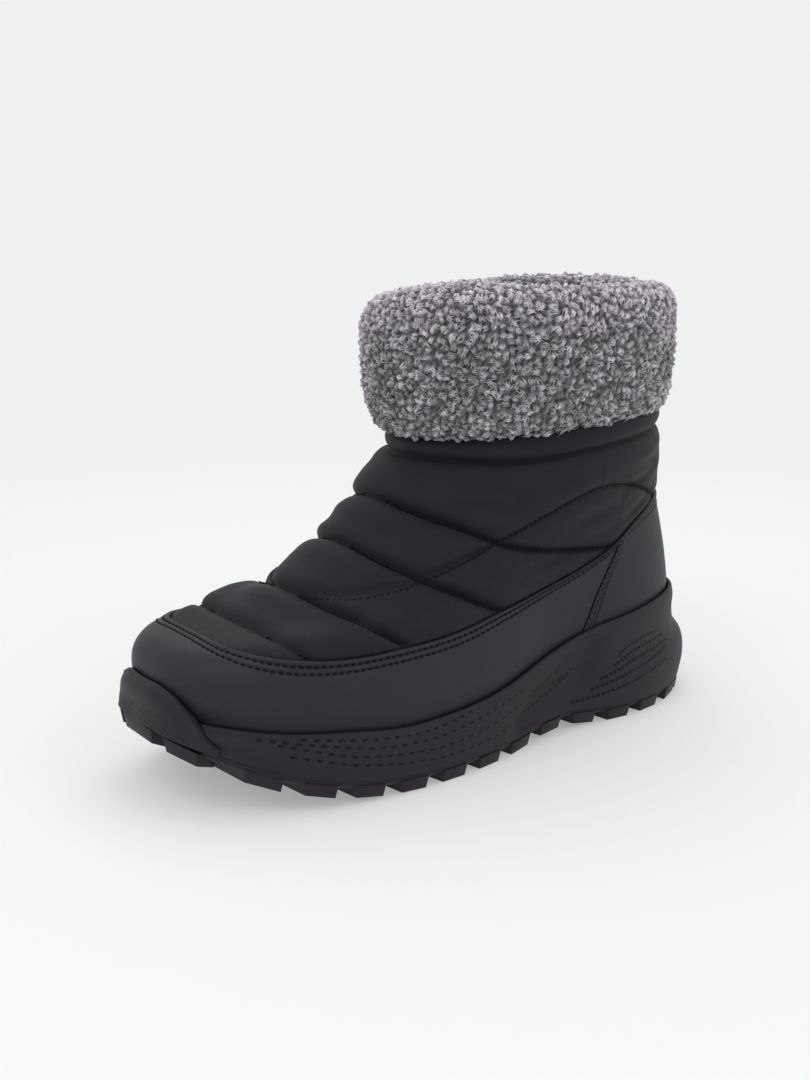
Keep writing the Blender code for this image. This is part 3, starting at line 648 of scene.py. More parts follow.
def seam_field(plane, seam):
    """Distance from points in side view to a seam, their side of it (over is positive) and how far along."""
    nearest = np.full(plane.shape[:-1], np.inf)
    side, along = np.ones_like(nearest), np.zeros_like(nearest)
    gone = 0.0
    for start, end in zip(seam[:-1], seam[1:]):
        run = end - start
        length = np.hypot(*run)
        away = plane - start
        t = np.clip((away @ run) / (run @ run), 0, 1)
        distance = np.linalg.norm(away - t[..., None] * run, axis=-1)
        closer = distance < nearest
        nearest = np.where(closer, distance, nearest)
        side = np.where(closer, np.sign(run[0] * away[..., 1] - run[1] * away[..., 0]), side)
        along = np.where(closer, gone + t * length, along)
        gone += length
    return nearest, side, along


def pucker(along, distance, phase):
    """Small folds that the thread pulls beside a seam."""
    wave = sum(np.sin(TURN * along / length + phase * (k + 1)) for k, length in enumerate(PUCKER_LENGTHS))
    return PUCKER_HEIGHT * wave * np.exp(-distance / PUCKER_REACH) * (1 - hump(distance, 0, PUCKER_CLEAR))


def crease_depth(plane):
    """Depth of the listed creases."""
    depth = np.zeros(plane.shape[:-1])
    for station, height, to_station, to_height, deep, half in zip(*CREASES.values()):
        run = np.array([to_station - station, to_height - height])
        away = plane - (station, height)
        t = (away @ run) / (run @ run)
        distance = np.linalg.norm(away - np.clip(t, 0, 1)[..., None] * run, axis=-1)
        trough = hump(distance, 0, half) - CREASE_RIDGE * hump(distance, 2 * half, half)
        depth += deep * trough * np.sqrt(np.sin(np.pi * np.clip(t, CREASE_END, 1 - CREASE_END)))
    return depth


def quilt(points):
    """How far the padding stands out at these points of the upper, and how much shade is painted on them for
    lying deep in a seam.
    """
    plane = points[..., 1:]
    station, height = points[..., 1], points[..., 2]
    share = np.ones(station.shape)
    folds, seam_shade, notch = (np.zeros(station.shape) for _ in range(3))
    for k, (name, seam) in enumerate(QUILT_SEAMS.items()):
        distance, side, along = seam_field(plane, smooth_seam(seam))
        beside = np.hypot(np.maximum(distance - SEAM_FLAT, 0), SEAM_ROUND) - SEAM_ROUND
        flank = quarter_round(beside / np.where(side > 0, FLANK_OVER, FLANK_UNDER))
        depth = SEAM_DEPTHS.get(name, 1.0)
        share *= 1 - depth * (1 - flank)
        folds += pucker(along, distance, k + 1.0)
        # Shade painted dark along the bottom of each seam.
        seam_shade = np.maximum(seam_shade, depth**2 * hump(distance, 0, SEAM_SHADE_HALF))
        notch = np.maximum(notch, depth**2 * hump(distance, 0, NOTCH_HALF))
    over = height - line(OVERLAY_EDGE, station)
    room = quarter_round(over / FLANK_EDGE) * quarter_round((line(HEM, station) - height) / FLANK_HEM)
    slack = smooth_step((station - SLACK_FROM) / (SLACK_TO - SLACK_FROM))
    ahead = np.clip((TOE_TO - station) / (TOE_TO - TOE_FROM), 0, 1)
    puff = blend(PUFF_FRONT, PUFF_BACK, slack) * (1 - (1 - TOE_SHARE) * ahead)
    wrinkles = crease_depth(plane) * smooth_step(over / FLANK_EDGE)
    return room * (puff * share + folds - wrinkles - NOTCH_DEPTH * notch), seam_shade


def make_shell(nylon, lining):
    """Padded shell with its seams, and the fleece lining on its inner face; returns its quilted face."""
    angle = even_angles(SHELL_COLUMNS)
    none, top = np.zeros(SHELL_COLUMNS), np.full(SHELL_COLUMNS, TOP_LEVEL)
    bounds = none, rim_level(angle), edge_level(angle), hem_level(angle), top
    level = [none]
    for low, high, count in zip(bounds, bounds[1:], (FOOT_ROWS, OVERLAY_ROWS, QUILT_ROWS, SHAFT_ROWS)):
        level += [blend(low, high, k / count) for k in range(1, count + 1)]
    level = np.array(level)
    relief, seam_shade = quilt(upper_surface(angle, level))
    outside = upper_offset(angle, level, relief)
    lining_level = np.linspace(TOP_LEVEL, 0, LINING_ROWS)[:, None] * np.ones(SHELL_COLUMNS)
    inside = upper_offset(angle, lining_level, -UPPER_WALL)
    inside[-1, :, 2] = outside[0, :, 2]
    inside[0, :, 2] = outside[-1, :, 2]
    points = np.concatenate([outside, inside])
    # The quilted face carries the shade painted dark along its seams as an attribute.
    made = make_piece(
        "quilted_shell", points, grid_faces(len(points), SHELL_COLUMNS, wrap_rows=True), [nylon, lining],
        "upper", {"seam_shade": np.concatenate([seam_shade, np.zeros(inside.shape[:2])])},
        np.repeat(np.arange(len(points)) >= len(outside) - 1, SHELL_COLUMNS),
    )
    first = FOOT_ROWS + OVERLAY_ROWS
    return outside[first : first + QUILT_ROWS]


# Stitches

def stitch_points(path, normals, pitch, length, radius):
    """Small thread loops along a path, as an array of stitches by points."""
    travel = travelled(path)
    at = np.arange(pitch / 2, travel[-1] - pitch / 4, pitch)

    def read(values, where):
        return np.stack([np.interp(where, travel, column) for column in values.T], axis=-1)

    centre, out = read(path, at), unit(read(normals, at))
    ahead = unit(read(path, at + length / 2) - read(path, at - length / 2))
    aside = unit(np.cross(out, ahead))
    turn = np.arange(STITCH_SIDES)[:, None] * TURN / STITCH_SIDES
    spread = aside[:, None] * np.cos(turn) + out[:, None] * np.sin(turn)
    rings = []
    for along, size, lift in zip(*STITCH_RINGS.values()):
        middle = centre + ahead * along * length / 2 + out * lift * radius
        rings.append(middle[:, None] + spread * size * radius)
    return np.stack(rings, axis=1).reshape(len(at), -1, 3)


def make_stitches(name, rows, finish):
    """One joined mesh of the stitches of several rows (path, normals, pitch, length, radius)."""
    points = np.concatenate([stitch_points(*row) for row in rows])
    one = capped_faces(len(STITCH_RINGS["along"]), STITCH_SIDES)
    make_piece(name, points, repeated(one, points.shape[1], len(points)), [finish])


def seam_stitches(surface):
    """Stitch rows along the seams on both sides of the shell's quilted face."""
    normals = grid_normals(surface)
    rows = []
    for side in (1, -1):
        chosen = (surface[..., 0] - surface[:, :1, 0]) * side > 0
        points, outs = surface[chosen], normals[chosen]
        for name in (name for name in QUILT_SEAMS if name not in FOLDED_SEAMS):
            path, path_out = [], []
            for spot in smooth_seam(QUILT_SEAMS[name]):
                apart = ((points[:, 1:] - spot) ** 2).sum(axis=1)
                weight = np.exp(-apart / SEAM_SEARCH**2)
                if apart.min() < SEAM_FOUND**2:
                    path_out.append(weight @ outs / weight.sum())
                    path.append(weight @ points / weight.sum() + SEAM_LIFT * path_out[-1])
            if len(path) > 2:
                rows.append((np.array(path), np.array(path_out), *SEAM_STITCH))
    return rows


# Overlays

def overlay_paths(column):
    """Angles and levels of points down each column of an overlay, and their depths below its top edge."""
    drop = np.linspace(0, PANEL_FOOT, PATH_STEPS)[:, None]
    angle = leaning_angle(column, np.clip(1 - drop, 0, 1))
    edge, rim = edge_level(angle), rim_level(angle)
    level = np.where(drop < 1, blend(edge, rim, drop), rim * (2 - drop))
    return angle, level, travelled(upper_surface(angle, level))


def at_depth(paths, depth):
    """Angles and levels at these depths (rows by columns) below the top edge."""
    angle, level, below = paths
    return [
        np.stack([np.interp(*column) for column in zip(depth.T, below.T, values.T)], axis=1)
        for values in (angle, level)
    ]


def edge_profile(depth):
    """Height of a folded edge over the overlay's inner face, by distance from the edge, and its grooves; the
    grooves also set the shade painted dark in them.
    """
    dark = sum(hump(depth, groove, GROOVE_HALF) for groove in GROOVES)
    lip = OVERLAY_WALL * quarter_round(depth / LIP_ROLL) + RIDGE * hump(depth, RIDGE_AT, RIDGE_HALF)
    return lip - GROOVE_DEPTH * dark, dark


def panel_columns(first, last, count):
    """Column numbers of an overlay, close together at its two ends, and how far each is from an end."""
    half = (last - first) / 2
    ends = upper_surface(column_angle(np.array([last - 1, last])), STEP_LEVEL)
    step = np.linalg.norm(ends[1] - ends[0])
    close = EDGE_STEPS / step
    inner = np.linspace(first + close[-1], last - close[-1], count)[1:-1]
    column = np.concatenate([first + close, inner, (last - close)[::-1]])
    column[0] += END_GAP
    column[-1] -= END_GAP
    return column, (half - np.abs(column - first - half)) * step


def make_overlay(name, first, last, count, finish, strip):
    """Overlay with a folded, grooved top edge; with a strip, its two ends are raised and grooved too. Shade
    is painted dark in the grooves and in the channel beside each strip.
    """
    column, from_end = panel_columns(first, last, count)
    paths = overlay_paths(column)
    close = EDGE_STEPS[:, None] * np.ones(len(column))
    rest = blend(close[-1], paths[2][-1], (np.arange(PANEL_ROWS)[:, None] + 1) / PANEL_ROWS)
    depth = np.concatenate([close, rest])
    angle, level = at_depth(paths, depth)
    height, dark = edge_profile(depth)
    if strip:
        below = smooth_step((depth - GROOVES[1]) / STRIP_FADE)
        sunk = sum(hump(from_end, groove, STRIP_DARK) for groove in STRIP_GROOVES)
        beside = hump(from_end, STRIP_WIDTH + STRIP_DARK, STRIP_DARK)
        raised = STRIP_RISE * (smooth_step((STRIP_WIDTH - from_end) / STRIP_EDGE) - sunk)
        height = height + (raised - STRIP_GROOVE * beside) * below
        # Shade painted dark in the strip's grooves and in the channel beside it.
        dark = dark + (sunk + beside) * below
    height = height * quarter_round(from_end / LIP_ROLL + LIP_START)
    outside = upper_offset(angle, level, GAP + height)
    inside = upper_offset(angle, level, GAP)[::-PANEL_INNER]
    points = np.concatenate([outside, inside]).transpose(1, 0, 2)
    # Attribute of the shade painted dark in the grooves.
    groove = {"groove": np.concatenate([dark, np.zeros(inside.shape[:2])]).T}
    faces = capped_faces(*points.shape[:2])
    make_piece(f"{name}_stitched", points, faces, [finish], name, groove)
    return paths, from_end


def stitch_row(angle, level, height, stitch):
    """Path of a stitch row at this height over the upper, its normals, and the size of its stitches."""
    return upper_offset(angle, level, height), upper_normal(angle, level), *stitch


def overlay_stitches(paths):
    """Stitch rows along an overlay's top edge."""
    rows = []
    for groove in GROOVES:
        angle, level = at_depth(paths, np.full((1, paths[0].shape[1]), groove))
        rows.append(stitch_row(angle[0], level[0], GAP + OVERLAY_WALL - EDGE_SINK, EDGE_STITCH))
    return rows


def strip_stitches(paths, from_end):
    """Stitch rows down the raised strips at the heel counter's two ends."""
    angle, level, depth = paths
    half = len(from_end) // 2
    rows = []
    for groove in STRIP_GROOVES:
        away = np.abs(from_end - groove)
        for column in (np.argmin(away[:half]), half + np.argmin(away[half:])):
            below = depth[:, column]
            chosen = (below > GROOVES[1] + STRIP_TOP) & (below < below[-1] - STRIP_FOOT)
            spots = angle[chosen, column], level[chosen, column]
            rows.append(stitch_row(*spots, GAP + OVERLAY_WALL + STRIP_RISE - STRIP_SINK, SEAM_STITCH))
    return rows


# Midsole

def dash_segments(name, row, at, travel, station):
    """Start, end and half width of each dash of a row in the unrolled side, shorter towards the arch."""
    path = smooth_seam(row)
    spots = np.column_stack([np.interp(path[:, 0], station, travel), path[:, 1]])
    length = travelled(spots)
    segments = []
    while at < length[-1]:
        here = np.interp(at, length, path[:, 0])
        dots = smooth_step((here - DOTS_FROM) / (DOTS_TO - DOTS_FROM))
        dash, pitch, half = HEEL_DOT if name.startswith("heel") else blend(FORE_DASH, ARCH_DOT, dots)
        ends = at - dash / 2, at + dash / 2
        segments.append((*np.column_stack([np.interp(ends, length, column) for column in spots.T]), half))
        at += pitch
    return segments


def between(grid, row, column):
    """Values of a grid at fractional rows and columns."""
    low, left = row.astype(int), column.astype(int)
    high, right = np.minimum(low + 1, len(grid) - 1), np.minimum(left + 1, grid.shape[1] - 1)
    down, across = (row - low)[:, None], (column - left)[:, None]
    lower = blend(grid[low, left], grid[low, right], across)
    return blend(lower, blend(grid[high, left], grid[high, right], across), down)


def slot_shadow_points(segments, travel, side, normals):
    """Outlines of the dark plates of painted slot shadow on one side of the midsole, as plates by points."""
    half_turn = np.linspace(-np.pi / 2, np.pi / 2, SLOT_TURNS)[:, None]
    slot_shadows = []
    for start, end, half in segments:
        ahead = (end - start) / np.hypot(*(end - start))
        aside = np.array([-ahead[1], ahead[0]])
        cap = (np.cos(half_turn) * ahead + np.sin(half_turn) * aside) * half
        edge = np.concatenate([end + cap, start - cap])
        column = np.interp(edge[:, 0], travel, np.arange(len(travel)))
        foot, top = (between(side, np.full(len(column), row), column)[:, 2] for row in (0, SIDE_ROWS - 1))
        share = (edge[:, 1] - foot) / (top - foot)
        if share.min() > 0 and share.max() < 1:
            row = share * (SIDE_ROWS - 1)
            slot_shadows.append(between(side, row, column) + unit(between(normals, row, column)) * SLOT_PROUD)
    return slot_shadows


def make_midsole(foam, slot_shadow_finish):
    """Midsole with a rounded rim and a valley under the arch, and dark plates of painted slot shadow in rows
    along its side.
    """
    angle = even_angles(SIDE_COLUMNS)
    rise = np.linspace(0, 1, SIDE_ROWS)[:, None]
    side = midsole_side(angle, rise)
    outside = side.copy()
    fade = smooth_step(rise / VALLEY_FADE) * smooth_step((1 - rise) / VALLEY_FADE)
    slot_shadows = []
    for columns in (np.flatnonzero(angle < np.pi), np.flatnonzero(angle >= np.pi)[::-1]):
        middle, heights = side[UNROLL_ROW, columns], side[:, columns, 2]
        travel = travelled(middle[:, :2])
        station = np.maximum.accumulate(middle[:, 1])
        bend = smooth_seam(VALLEY)
        bend[:, 0] = np.interp(bend[:, 0], station, travel)
        plane = np.stack([np.broadcast_to(travel, heights.shape), heights], axis=-1)
        valley = VALLEY_DEPTH * hump(seam_field(plane, bend)[0], 0, VALLEY_HALF) * fade
        normals = grid_normals(side)[:, columns]
        outside[:, columns] -= normals * valley[..., None]
        segments = []
        for k, (name, row) in enumerate(DASH_ROWS.items()):
            segments += dash_segments(name, row, ROW_START + (k % 2) * ROW_SHIFT, travel, station)
        slot_shadows += slot_shadow_points(segments, travel, outside[:, columns], normals)
    level = rim_level(angle)
    lip, out = upper_surface(angle, level), upper_normal(angle, level)
    roll = []
    for turn in np.linspace(0, np.pi, RIM_TURNS)[1:]:
        ring = lip + out * (MIDSOLE_CLEAR + RIM_LIP * (1 + math.cos(turn)) / 2)
        ring[:, 2] += RIM_ROLL * math.sin(turn)
        roll.append(ring)
    inner = [upper_offset(angle, level * share, MIDSOLE_CLEAR) for share in INNER_LEVELS]
    inner[-1][:, 2] = upper_surface(angle, 0)[:, 2] - GAP
    points = np.concatenate([outside, roll, inner])
    faces = laddered_faces(*points.shape[:2])
    make_piece("midsole_moulded", points, faces, [foam], "midsole")
    slot_shadows = np.array(slot_shadows)
    slot_shadow_faces = np.arange(len(slot_shadows) * slot_shadows.shape[1]).reshape(len(slot_shadows), -1).tolist()
    # Thin dark plates just off the side: the painted shadow of the slots.
    make_piece("midsole_slot_shadows", slot_shadows, slot_shadow_faces, [slot_shadow_finish])


def make_insole(felt):
    """Footbed with rounded edges, inside the upper."""
    angle = even_angles(INSOLE_COLUMNS)
    bed = upper_surface(angle, 0)[:, 2]
    rings = []
    for inset, rise in zip(*INSOLE.values()):
        ring = upper_offset(angle, 0, -UPPER_WALL - 2 * GAP - inset)
        ring[:, 2] = bed + rise
        rings.append(ring)
    faces = laddered_faces(len(rings), INSOLE_COLUMNS)
    make_piece("insole_felt", rings, faces, [felt], "insole")


# Toe bumper

def bumper_inside(angle, height, low, rim):
    """Points the bumper lies on at these heights: the midsole's side, and above its rim the mudguard."""
    rise = np.clip((height - low[:, 2]) / (rim[:, 2] - low[:, 2]), 0, 1)
    on_upper = height + upper_surface(angle, rim_level(angle))[:, 2] - rim[:, 2]
    level = level_at(angle, lambda station: np.broadcast_to(on_upper[:, None], station.shape))
    lip = (RIM_LIP + 2 * GAP) * np.clip(1 - (height - rim[:, 2] - 2 * GAP) / BUMPER_TAPER, 0, 1)
    over = upper_offset(angle, level, OVERLAY_WALL + GAP + lip)
    return np.where((height > rim[:, 2])[:, None], over, midsole_side(angle, rise))


def bumper_reach(out, share):
    """Rim and outward direction along the bumper, its height, and at shares of it how high the surface under
    the bumper lies and how far out from the rim."""
    angle = out * BUMPER_TURN
    level = np.zeros(len(angle))
    low, rim = midsole_side(angle, np.zeros(1)), midsole_side(angle, np.ones(1))
    along = np.gradient(rim[:, :2], axis=0)
    outward = unit(np.column_stack([along[:, 1], -along[:, 0], level]))
    tread_station, tread_across = outline(angle, TREAD_EDGE, -BUMPER_CLEAR)
    tread = np.column_stack([tread_across, tread_station, level])
    parting = parting_height(tread_station) + BUMPER_CLEAR
    foot = tread_height(outline(angle, TREAD_EDGE, -TOE_PROUD)[0]) + LUG_DEPTH + LUG_ROOT + 2 * GAP
    tall = curve(np.abs(out), BUMPER["out"], BUMPER["height"])
    height = blend(foot, parting, out**BUMPER_SEAT) + tall * share
    inside = np.array([bumper_inside(angle, row, low, rim) for row in height])
    reach = ((inside - rim) * outward).sum(axis=-1) + BUMPER_CLEAR
    reach = np.maximum(reach, np.where(height < parting, ((tread - rim) * outward).sum(axis=-1), -np.inf))
    return rim, outward, tall, height, reach


def make_bumper(rubber):
    """Rubber guard over the fronts of outsole, midsole and mudguard: a smooth cap with a beaded top edge and
    fine ribs along its foot."""
    out = np.linspace(-1, 1, BUMPER_COLUMNS)
    coarse = np.linspace(0, 1, BUMPER_STEPS)[:, None]
    reach = bumper_reach(out, coarse)[-1]
    first, last = reach[0] + BUMPER_FOOT, reach[-1] + BUMPER_EDGE
    spare = reach + BUMPER_LEAST - blend(first, last, coarse)
    clear = np.max(spare[1:-1] / np.sin(np.pi * coarse[1:-1] ** BUMPER_CREST), axis=0)
    belly = np.maximum(clear, BUMPER_BELLY * (1 - out**2))
    share = np.linspace(0, 1, BUMPER_ROWS)[:, None]
    rim, outward, tall, height, reach = bumper_reach(out, share)
    wall = blend(first, last, share) + belly * np.sin(np.pi * share**BUMPER_CREST) - reach
    from_top, from_foot = (1 - share) * tall, share * tall
    travel = travelled(rim[:, :2])
    from_end = np.minimum(travel, travel[-1] - travel)
    ribs = np.abs(np.sin(np.pi * (travel + RIB_LEAN * from_foot) / RIB_PITCH))
    band = smooth_step((RIB_TOP - share) / RIB_FADE) * smooth_step(share / RIB_FOOT)
    wall = wall + BUMPER_BEAD * hump(from_top, BEAD_AT, BEAD_HALF) + RIB_HEIGHT * ribs * band
    wall = wall * quarter_round(EDGE_START + from_top / BUMPER_ROLL)
    wall = wall * quarter_round(FOOT_START + from_foot / BUMPER_ROLL)
    wall = wall * quarter_round(EDGE_START + from_end / (2 * BUMPER_ROLL))

    def place(far):
        return np.concatenate([(rim + outward * far[..., None])[..., :2], height[..., None]], axis=-1)

    points = np.concatenate([place(reach + wall), place(reach)[::-BUMPER_INNER]]).transpose(1, 0, 2)
    make_piece("toe_guard", points, capped_faces(*points.shape[:2]), [rubber], "toe_bumper")


# Outsole

def make_outsole(rubber):
    """The solid's own tread, with its edges rounded."""
    bm = bmesh.new()
    bm.from_mesh(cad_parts["outsole"].data)
    bmesh.ops.remove_doubles(bm, verts=bm.verts, dist=WELD)
    bmesh.ops.dissolve_limit(bm, angle_limit=FLAT, verts=bm.verts, edges=bm.edges)
    sharp = [edge for edge in bm.edges if edge.is_manifold and edge.calc_face_angle() > SHARP]
    bmesh.ops.bevel(
        bm, geom=sharp, offset=LUG_BEVEL * MM, segments=BEVEL_SEGMENTS, profile=BEVEL_PROFILE,
        affect="EDGES", clamp_overlap=True,
    )
    mesh = bpy.data.meshes.new("outsole_tread")
    bm.to_mesh(mesh)
    bm.free()
    mesh.materials.append(rubber)
    mesh.shade_smooth()
    mesh.set_sharp_from_angle(angle=SHARP)
    add_piece("outsole_tread", mesh, "outsole")


# Fleece cuff

def cuff_surface(angle, out, height):
    """Points at heights and distances out from the shaft, which carries on straight up above the collar."""
    levels = np.linspace(SHAFT_LEVEL, TOP_LEVEL, LEVEL_STEPS)
    heights = upper_surface(angle[:, None], levels)[..., 2]
    on_shaft = np.minimum(height, COLLAR_HEIGHT)
    level = np.stack([np.interp(on_shaft[:, i], heights[i], levels) for i in range(len(angle))], axis=1)
    around = upper_surface(angle + NUDGE, level) - upper_surface(angle - NUDGE, level)
    outward = unit(np.stack([around[..., 1], -around[..., 0]], axis=-1))
    plan = upper_surface(angle, level)[..., :2] + outward * out[..., None]
    return np.concatenate([plan, height[..., None]], axis=-1)


def cuff_grid(angle, step):
    """Plain form of the fleece at these steps along its section, plumped to the middle of its tufts."""
    knots = np.arange(len(CUFF["out"]), dtype=float)
    out, rise, lock = (curve(step, knots, column)[:, None] for column in CUFF.values())
    hem = line(HEM, upper_surface(angle, TOP_LEVEL)[:, 1])
    top = curve(np.degrees(angle), CUFF_RIM["turn"], CUFF_RIM["height"])
    thin = 1 - (1 - CUFF_BACK_SHARE) * (1 - np.cos(angle)) / 2
    distance = out * np.where(out > CUFF_CLEAR, thin, 1) + np.sign(out) * FLEECE_PLUMP * lock
    return cuff_surface(angle, distance, blend(hem, top, rise))


def lock_spots(flat, rng):
    """Indices of locks, spread evenly over points at random."""
    spots, taken = [], {}
    steps = [(i, j, k) for i in (-1, 0, 1) for j in (-1, 0, 1) for k in (-1, 0, 1)]
    for index in rng.permutation(len(flat)):
        key = tuple((flat[index] // LOCK_SPACING).astype(int))
        near = (taken.get((key[0] + i, key[1] + j, key[2] + k), ()) for i, j, k in steps)
        if all(math.dist(flat[other], flat[index]) > LOCK_SPACING for found in near for other in found):
            taken.setdefault(key, []).append(index)
            spots.append(index)
    return np.array(spots)


def dome_heights(flat, spots, rise):
    """Height of the pile's ground at each point, from 0 between locks to 1 under the fullest."""
    tree = kdtree.KDTree(len(spots))
    for i, spot in enumerate(spots):
        tree.insert(flat[spot], i)
    tree.balance()
    height = np.empty(len(flat))
    for i, point in enumerate(flat):
        (_, first, near), (_, _, far) = tree.find_n(point, 2)
        dome = math.sqrt(max(1 - (near / DOME_RADIUS) ** 2, 0))
        height[i] = rise[first] * dome * math.sqrt(min((far - near) / DOME_CRACK, 1))
    return height


def make_fibres(name, paths, out, light, finish):
    """Joined mesh of round fibres along paths (fibres by steps); each point knows how light it is painted,
    shade and highlight included.
    """
    steps = paths.shape[1]
    ahead = unit(np.gradient(paths, axis=1))
    aside = unit(np.cross(ahead, out[:, None]))
    turn = np.arange(FIBRE_SIDES)[:, None] * TURN / FIBRE_SIDES
    ring = aside[:, :, None] * np.cos(turn) + np.cross(aside, ahead)[:, :, None] * np.sin(turn)
    points = paths[:, :, None] + ring * FIBRE_RADIUS * FIBRE_STEPS["radius"][:, None, None]
    faces = repeated(capped_faces(steps, FIBRE_SIDES, ends=[-1]), steps * FIBRE_SIDES, len(paths))
    shade = np.repeat(light.ravel(), FIBRE_SIDES)
    make_piece(name, points, faces, [finish], attributes={"light": shade})


def waves(points):
    """Smooth unevenness over the fleece, about from -1 to 1."""
    clumps = enumerate(zip(CLUMP_WAYS, CLUMP_LENGTHS))
    swell = sum(np.sin(TURN * (points @ way) / length + k) for k, (way, length) in clumps)
    return swell / len(CLUMP_LENGTHS)


def locks_on(centre, out, down, rise, step, count, rng):
    """Paths, outward directions and lightness of the fibres of some locks. Each lock lies over and curls one
    way; near ones lie alike, those at the hem hang, and those along the crest are painted palest as a
    highlight. Lower locks and the roots of fibres are painted darker as shade."""
    locks = len(centre)
    hang = smooth_step((HANG_STEP - step) / HANG_STEP)
    uneven = waves(centre)
    turn = FLOW_TURN * uneven + rng.normal(0, LOCK_TURN, locks)
    length = rng.uniform(*LOCK_LENGTHS, locks) * (1 + HANG_LENGTH * hang)
    curl = LOCK_CURL * length * rng.choice((-1, 1), locks) * rng.uniform(CURL_LEAST, 1, locks)
    # Painted shade on lower locks and a painted highlight along the crest, besides uneven tone.
    shade = PALE_LEAST + PALE_RISE * rise + PALE_CREST * hump(step, CREST_STEP - 1, PALE_HALF)
    shade = shade + rng.normal(0, SHADE_STRAY, locks) + CLUMP_SHADE * uneven
    many = np.repeat(np.arange(locks), count)
    spread = (np.tile(np.linspace(-1, 1, count), locks) + rng.normal(0, FIBRE_STRAY, len(many)))[:, None]
    turn = turn[many] * (1 - HANG_CALM * hang[many]) + rng.normal(0, FRIZZ_TURN, len(many))
    centre, out, down = centre[many], out[many], down[many]
    lie = down * np.cos(turn)[:, None] + unit(np.cross(out, down)) * np.sin(turn)[:, None]
    length = length[many] * rng.uniform(*FIBRE_LENGTHS, len(many))
    t = FIBRE_STEPS["along"]
    along = length[:, None] * (t - LOCK_ROOT)
    bow = 1 - LOCK_BOW * (2 * t - LOCK_BOW) ** 2
    lift = blend(*LOCK_HEIGHTS, rise)[many, None] * bow - LOCK_ROUND * spread**2
    lift = lift + rng.normal(*FRIZZ_LIFT, len(many))[:, None] * t**2
    sideways = LOCK_HALF * spread * (1 - (1 - LOCK_TIP) * t) + curl[many, None] * t**2
    paths = centre[:, None] + lie[:, None] * along[..., None] + out[:, None] * lift[..., None]
    paths = paths + np.cross(out, lie)[:, None] * sideways[..., None]
    shade = np.clip(shade[many] + rng.normal(0, SHADE_STRAY, len(many)), *SHADE_LIMITS)
    # Each fibre is painted dark at its root as shade.
    return paths, out, shade[:, None] * FIBRE_STEPS["light"]


def make_cuff(fleece):
    """Fleece: its ground, and the locks on its outer face, top and inner face."""
    rng = np.random.default_rng(FLEECE_SEED)
    inner = np.linspace(CREST_STEP, len(CUFF["out"]) - 1, INNER_ROWS)[1:]
    step = np.concatenate([np.linspace(0, CREST_STEP, FACE_ROWS), inner])
    grid = cuff_grid(np.arange(FLEECE_COLUMNS) * TURN / FLEECE_COLUMNS, step)
    outs = grid_normals(grid)
    clump = CLUMP_RISE * waves(grid) * smooth_step(step)[:, None]
    points, outs = (grid + outs * clump[..., None]).reshape(-1, 3), outs.reshape(-1, 3)
    downs = unit(-np.gradient(grid, axis=0)).reshape(-1, 3)
    spots = lock_spots(points, rng)
    rise = rng.uniform(0, 1, len(spots))
    height = dome_heights(points, spots, blend(DOME_LEAST, 1, rise))
    ground = points + outs * (DOME_RISE * (height - 1))[:, None]
    faces = grid_faces(len(step), FLEECE_COLUMNS, wrap_rows=True)
    # The ground is painted darker between the locks as shade, by its height.
    make_piece("fleece_cuff", ground, faces, [fleece], "cuff", {"light": GROUND_SHADE * height})
    at = step[spots // FLEECE_COLUMNS]
    for name, low, high, count in LOCK_PIECES:
        chosen = (at >= low) & (at < high)
        spot = spots[chosen]
        locks = locks_on(points[spot], outs[spot], downs[spot], rise[chosen], at[chosen], count, rng)
        make_fibres(name, *locks, fleece)


# Materials

SPECULAR_TINT = (0.94, 0.86, 1.0, 1)
FELT_FIBRE = (0.5, 5, 0.7)
THREAD_TWIST = (0.25, 2)
PILE_FIBRE = (0.7, 4, 0.7)
PILE_PATCH = (8, 2)
PILE_CELLS = 2.8
PILE_GREYS = (0.66, 0.612, 0.666), (0.93, 0.877, 0.937)
# Painted shade: the dark at the roots of the fleece's fibres.
PILE_ROOT = (0.055, 0.050, 0.058)
# Painted shade: the dark in the cracks between the lining's clumps.
PILE_CRACK = (0.06, 0.056, 0.062)
PILE_TIP = (0.66, 0.63, 0.66)
PATCH_LIMITS = (0.35, 0.65)
LIGHT_LIMITS = (0.08, 0.85)
TIP_LIMITS = (0.5, 0.75)
TIP_SHARE = 0.3


def add_node(tree, kind, **values):
    """Node with these input values."""
    node = tree.nodes.new(kind)
    for name, value in values.items():
        node.inputs[name.replace("_", " ")].default_value = value
    return node


def coordinates(tree):
    return tree.nodes.new("ShaderNodeTexCoord").outputs["Object"]


def noise_of(tree, size, detail=3.0, roughness=0.55):
    """Noise with features of about this size in millimetres."""
    node = add_node(tree, "ShaderNodeTexNoise", Scale=1 / (size * MM), Detail=detail, Roughness=roughness)
    tree.links.new(coordinates(tree), node.inputs["Vector"])
    return node.outputs["Fac"]


def cells_of(tree, size):
    """Distance to the nearest of scattered points about this many millimetres apart."""
    node = add_node(tree, "ShaderNodeTexVoronoi", Scale=1 / (size * MM))
    tree.links.new(coordinates(tree), node.inputs["Vector"])
    return node.outputs["Distance"]


def ramp_of(tree, factor, low, high, low_at=0.0, high_at=1.0):
    """Value between two others, as a factor goes from one place to another."""
    limits = {"From_Min": low_at, "From_Max": high_at, "To_Min": low, "To_Max": high}
    node = add_node(tree, "ShaderNodeMapRange", **limits)
    tree.links.new(factor, node.inputs["Value"])
    return node.outputs["Result"]


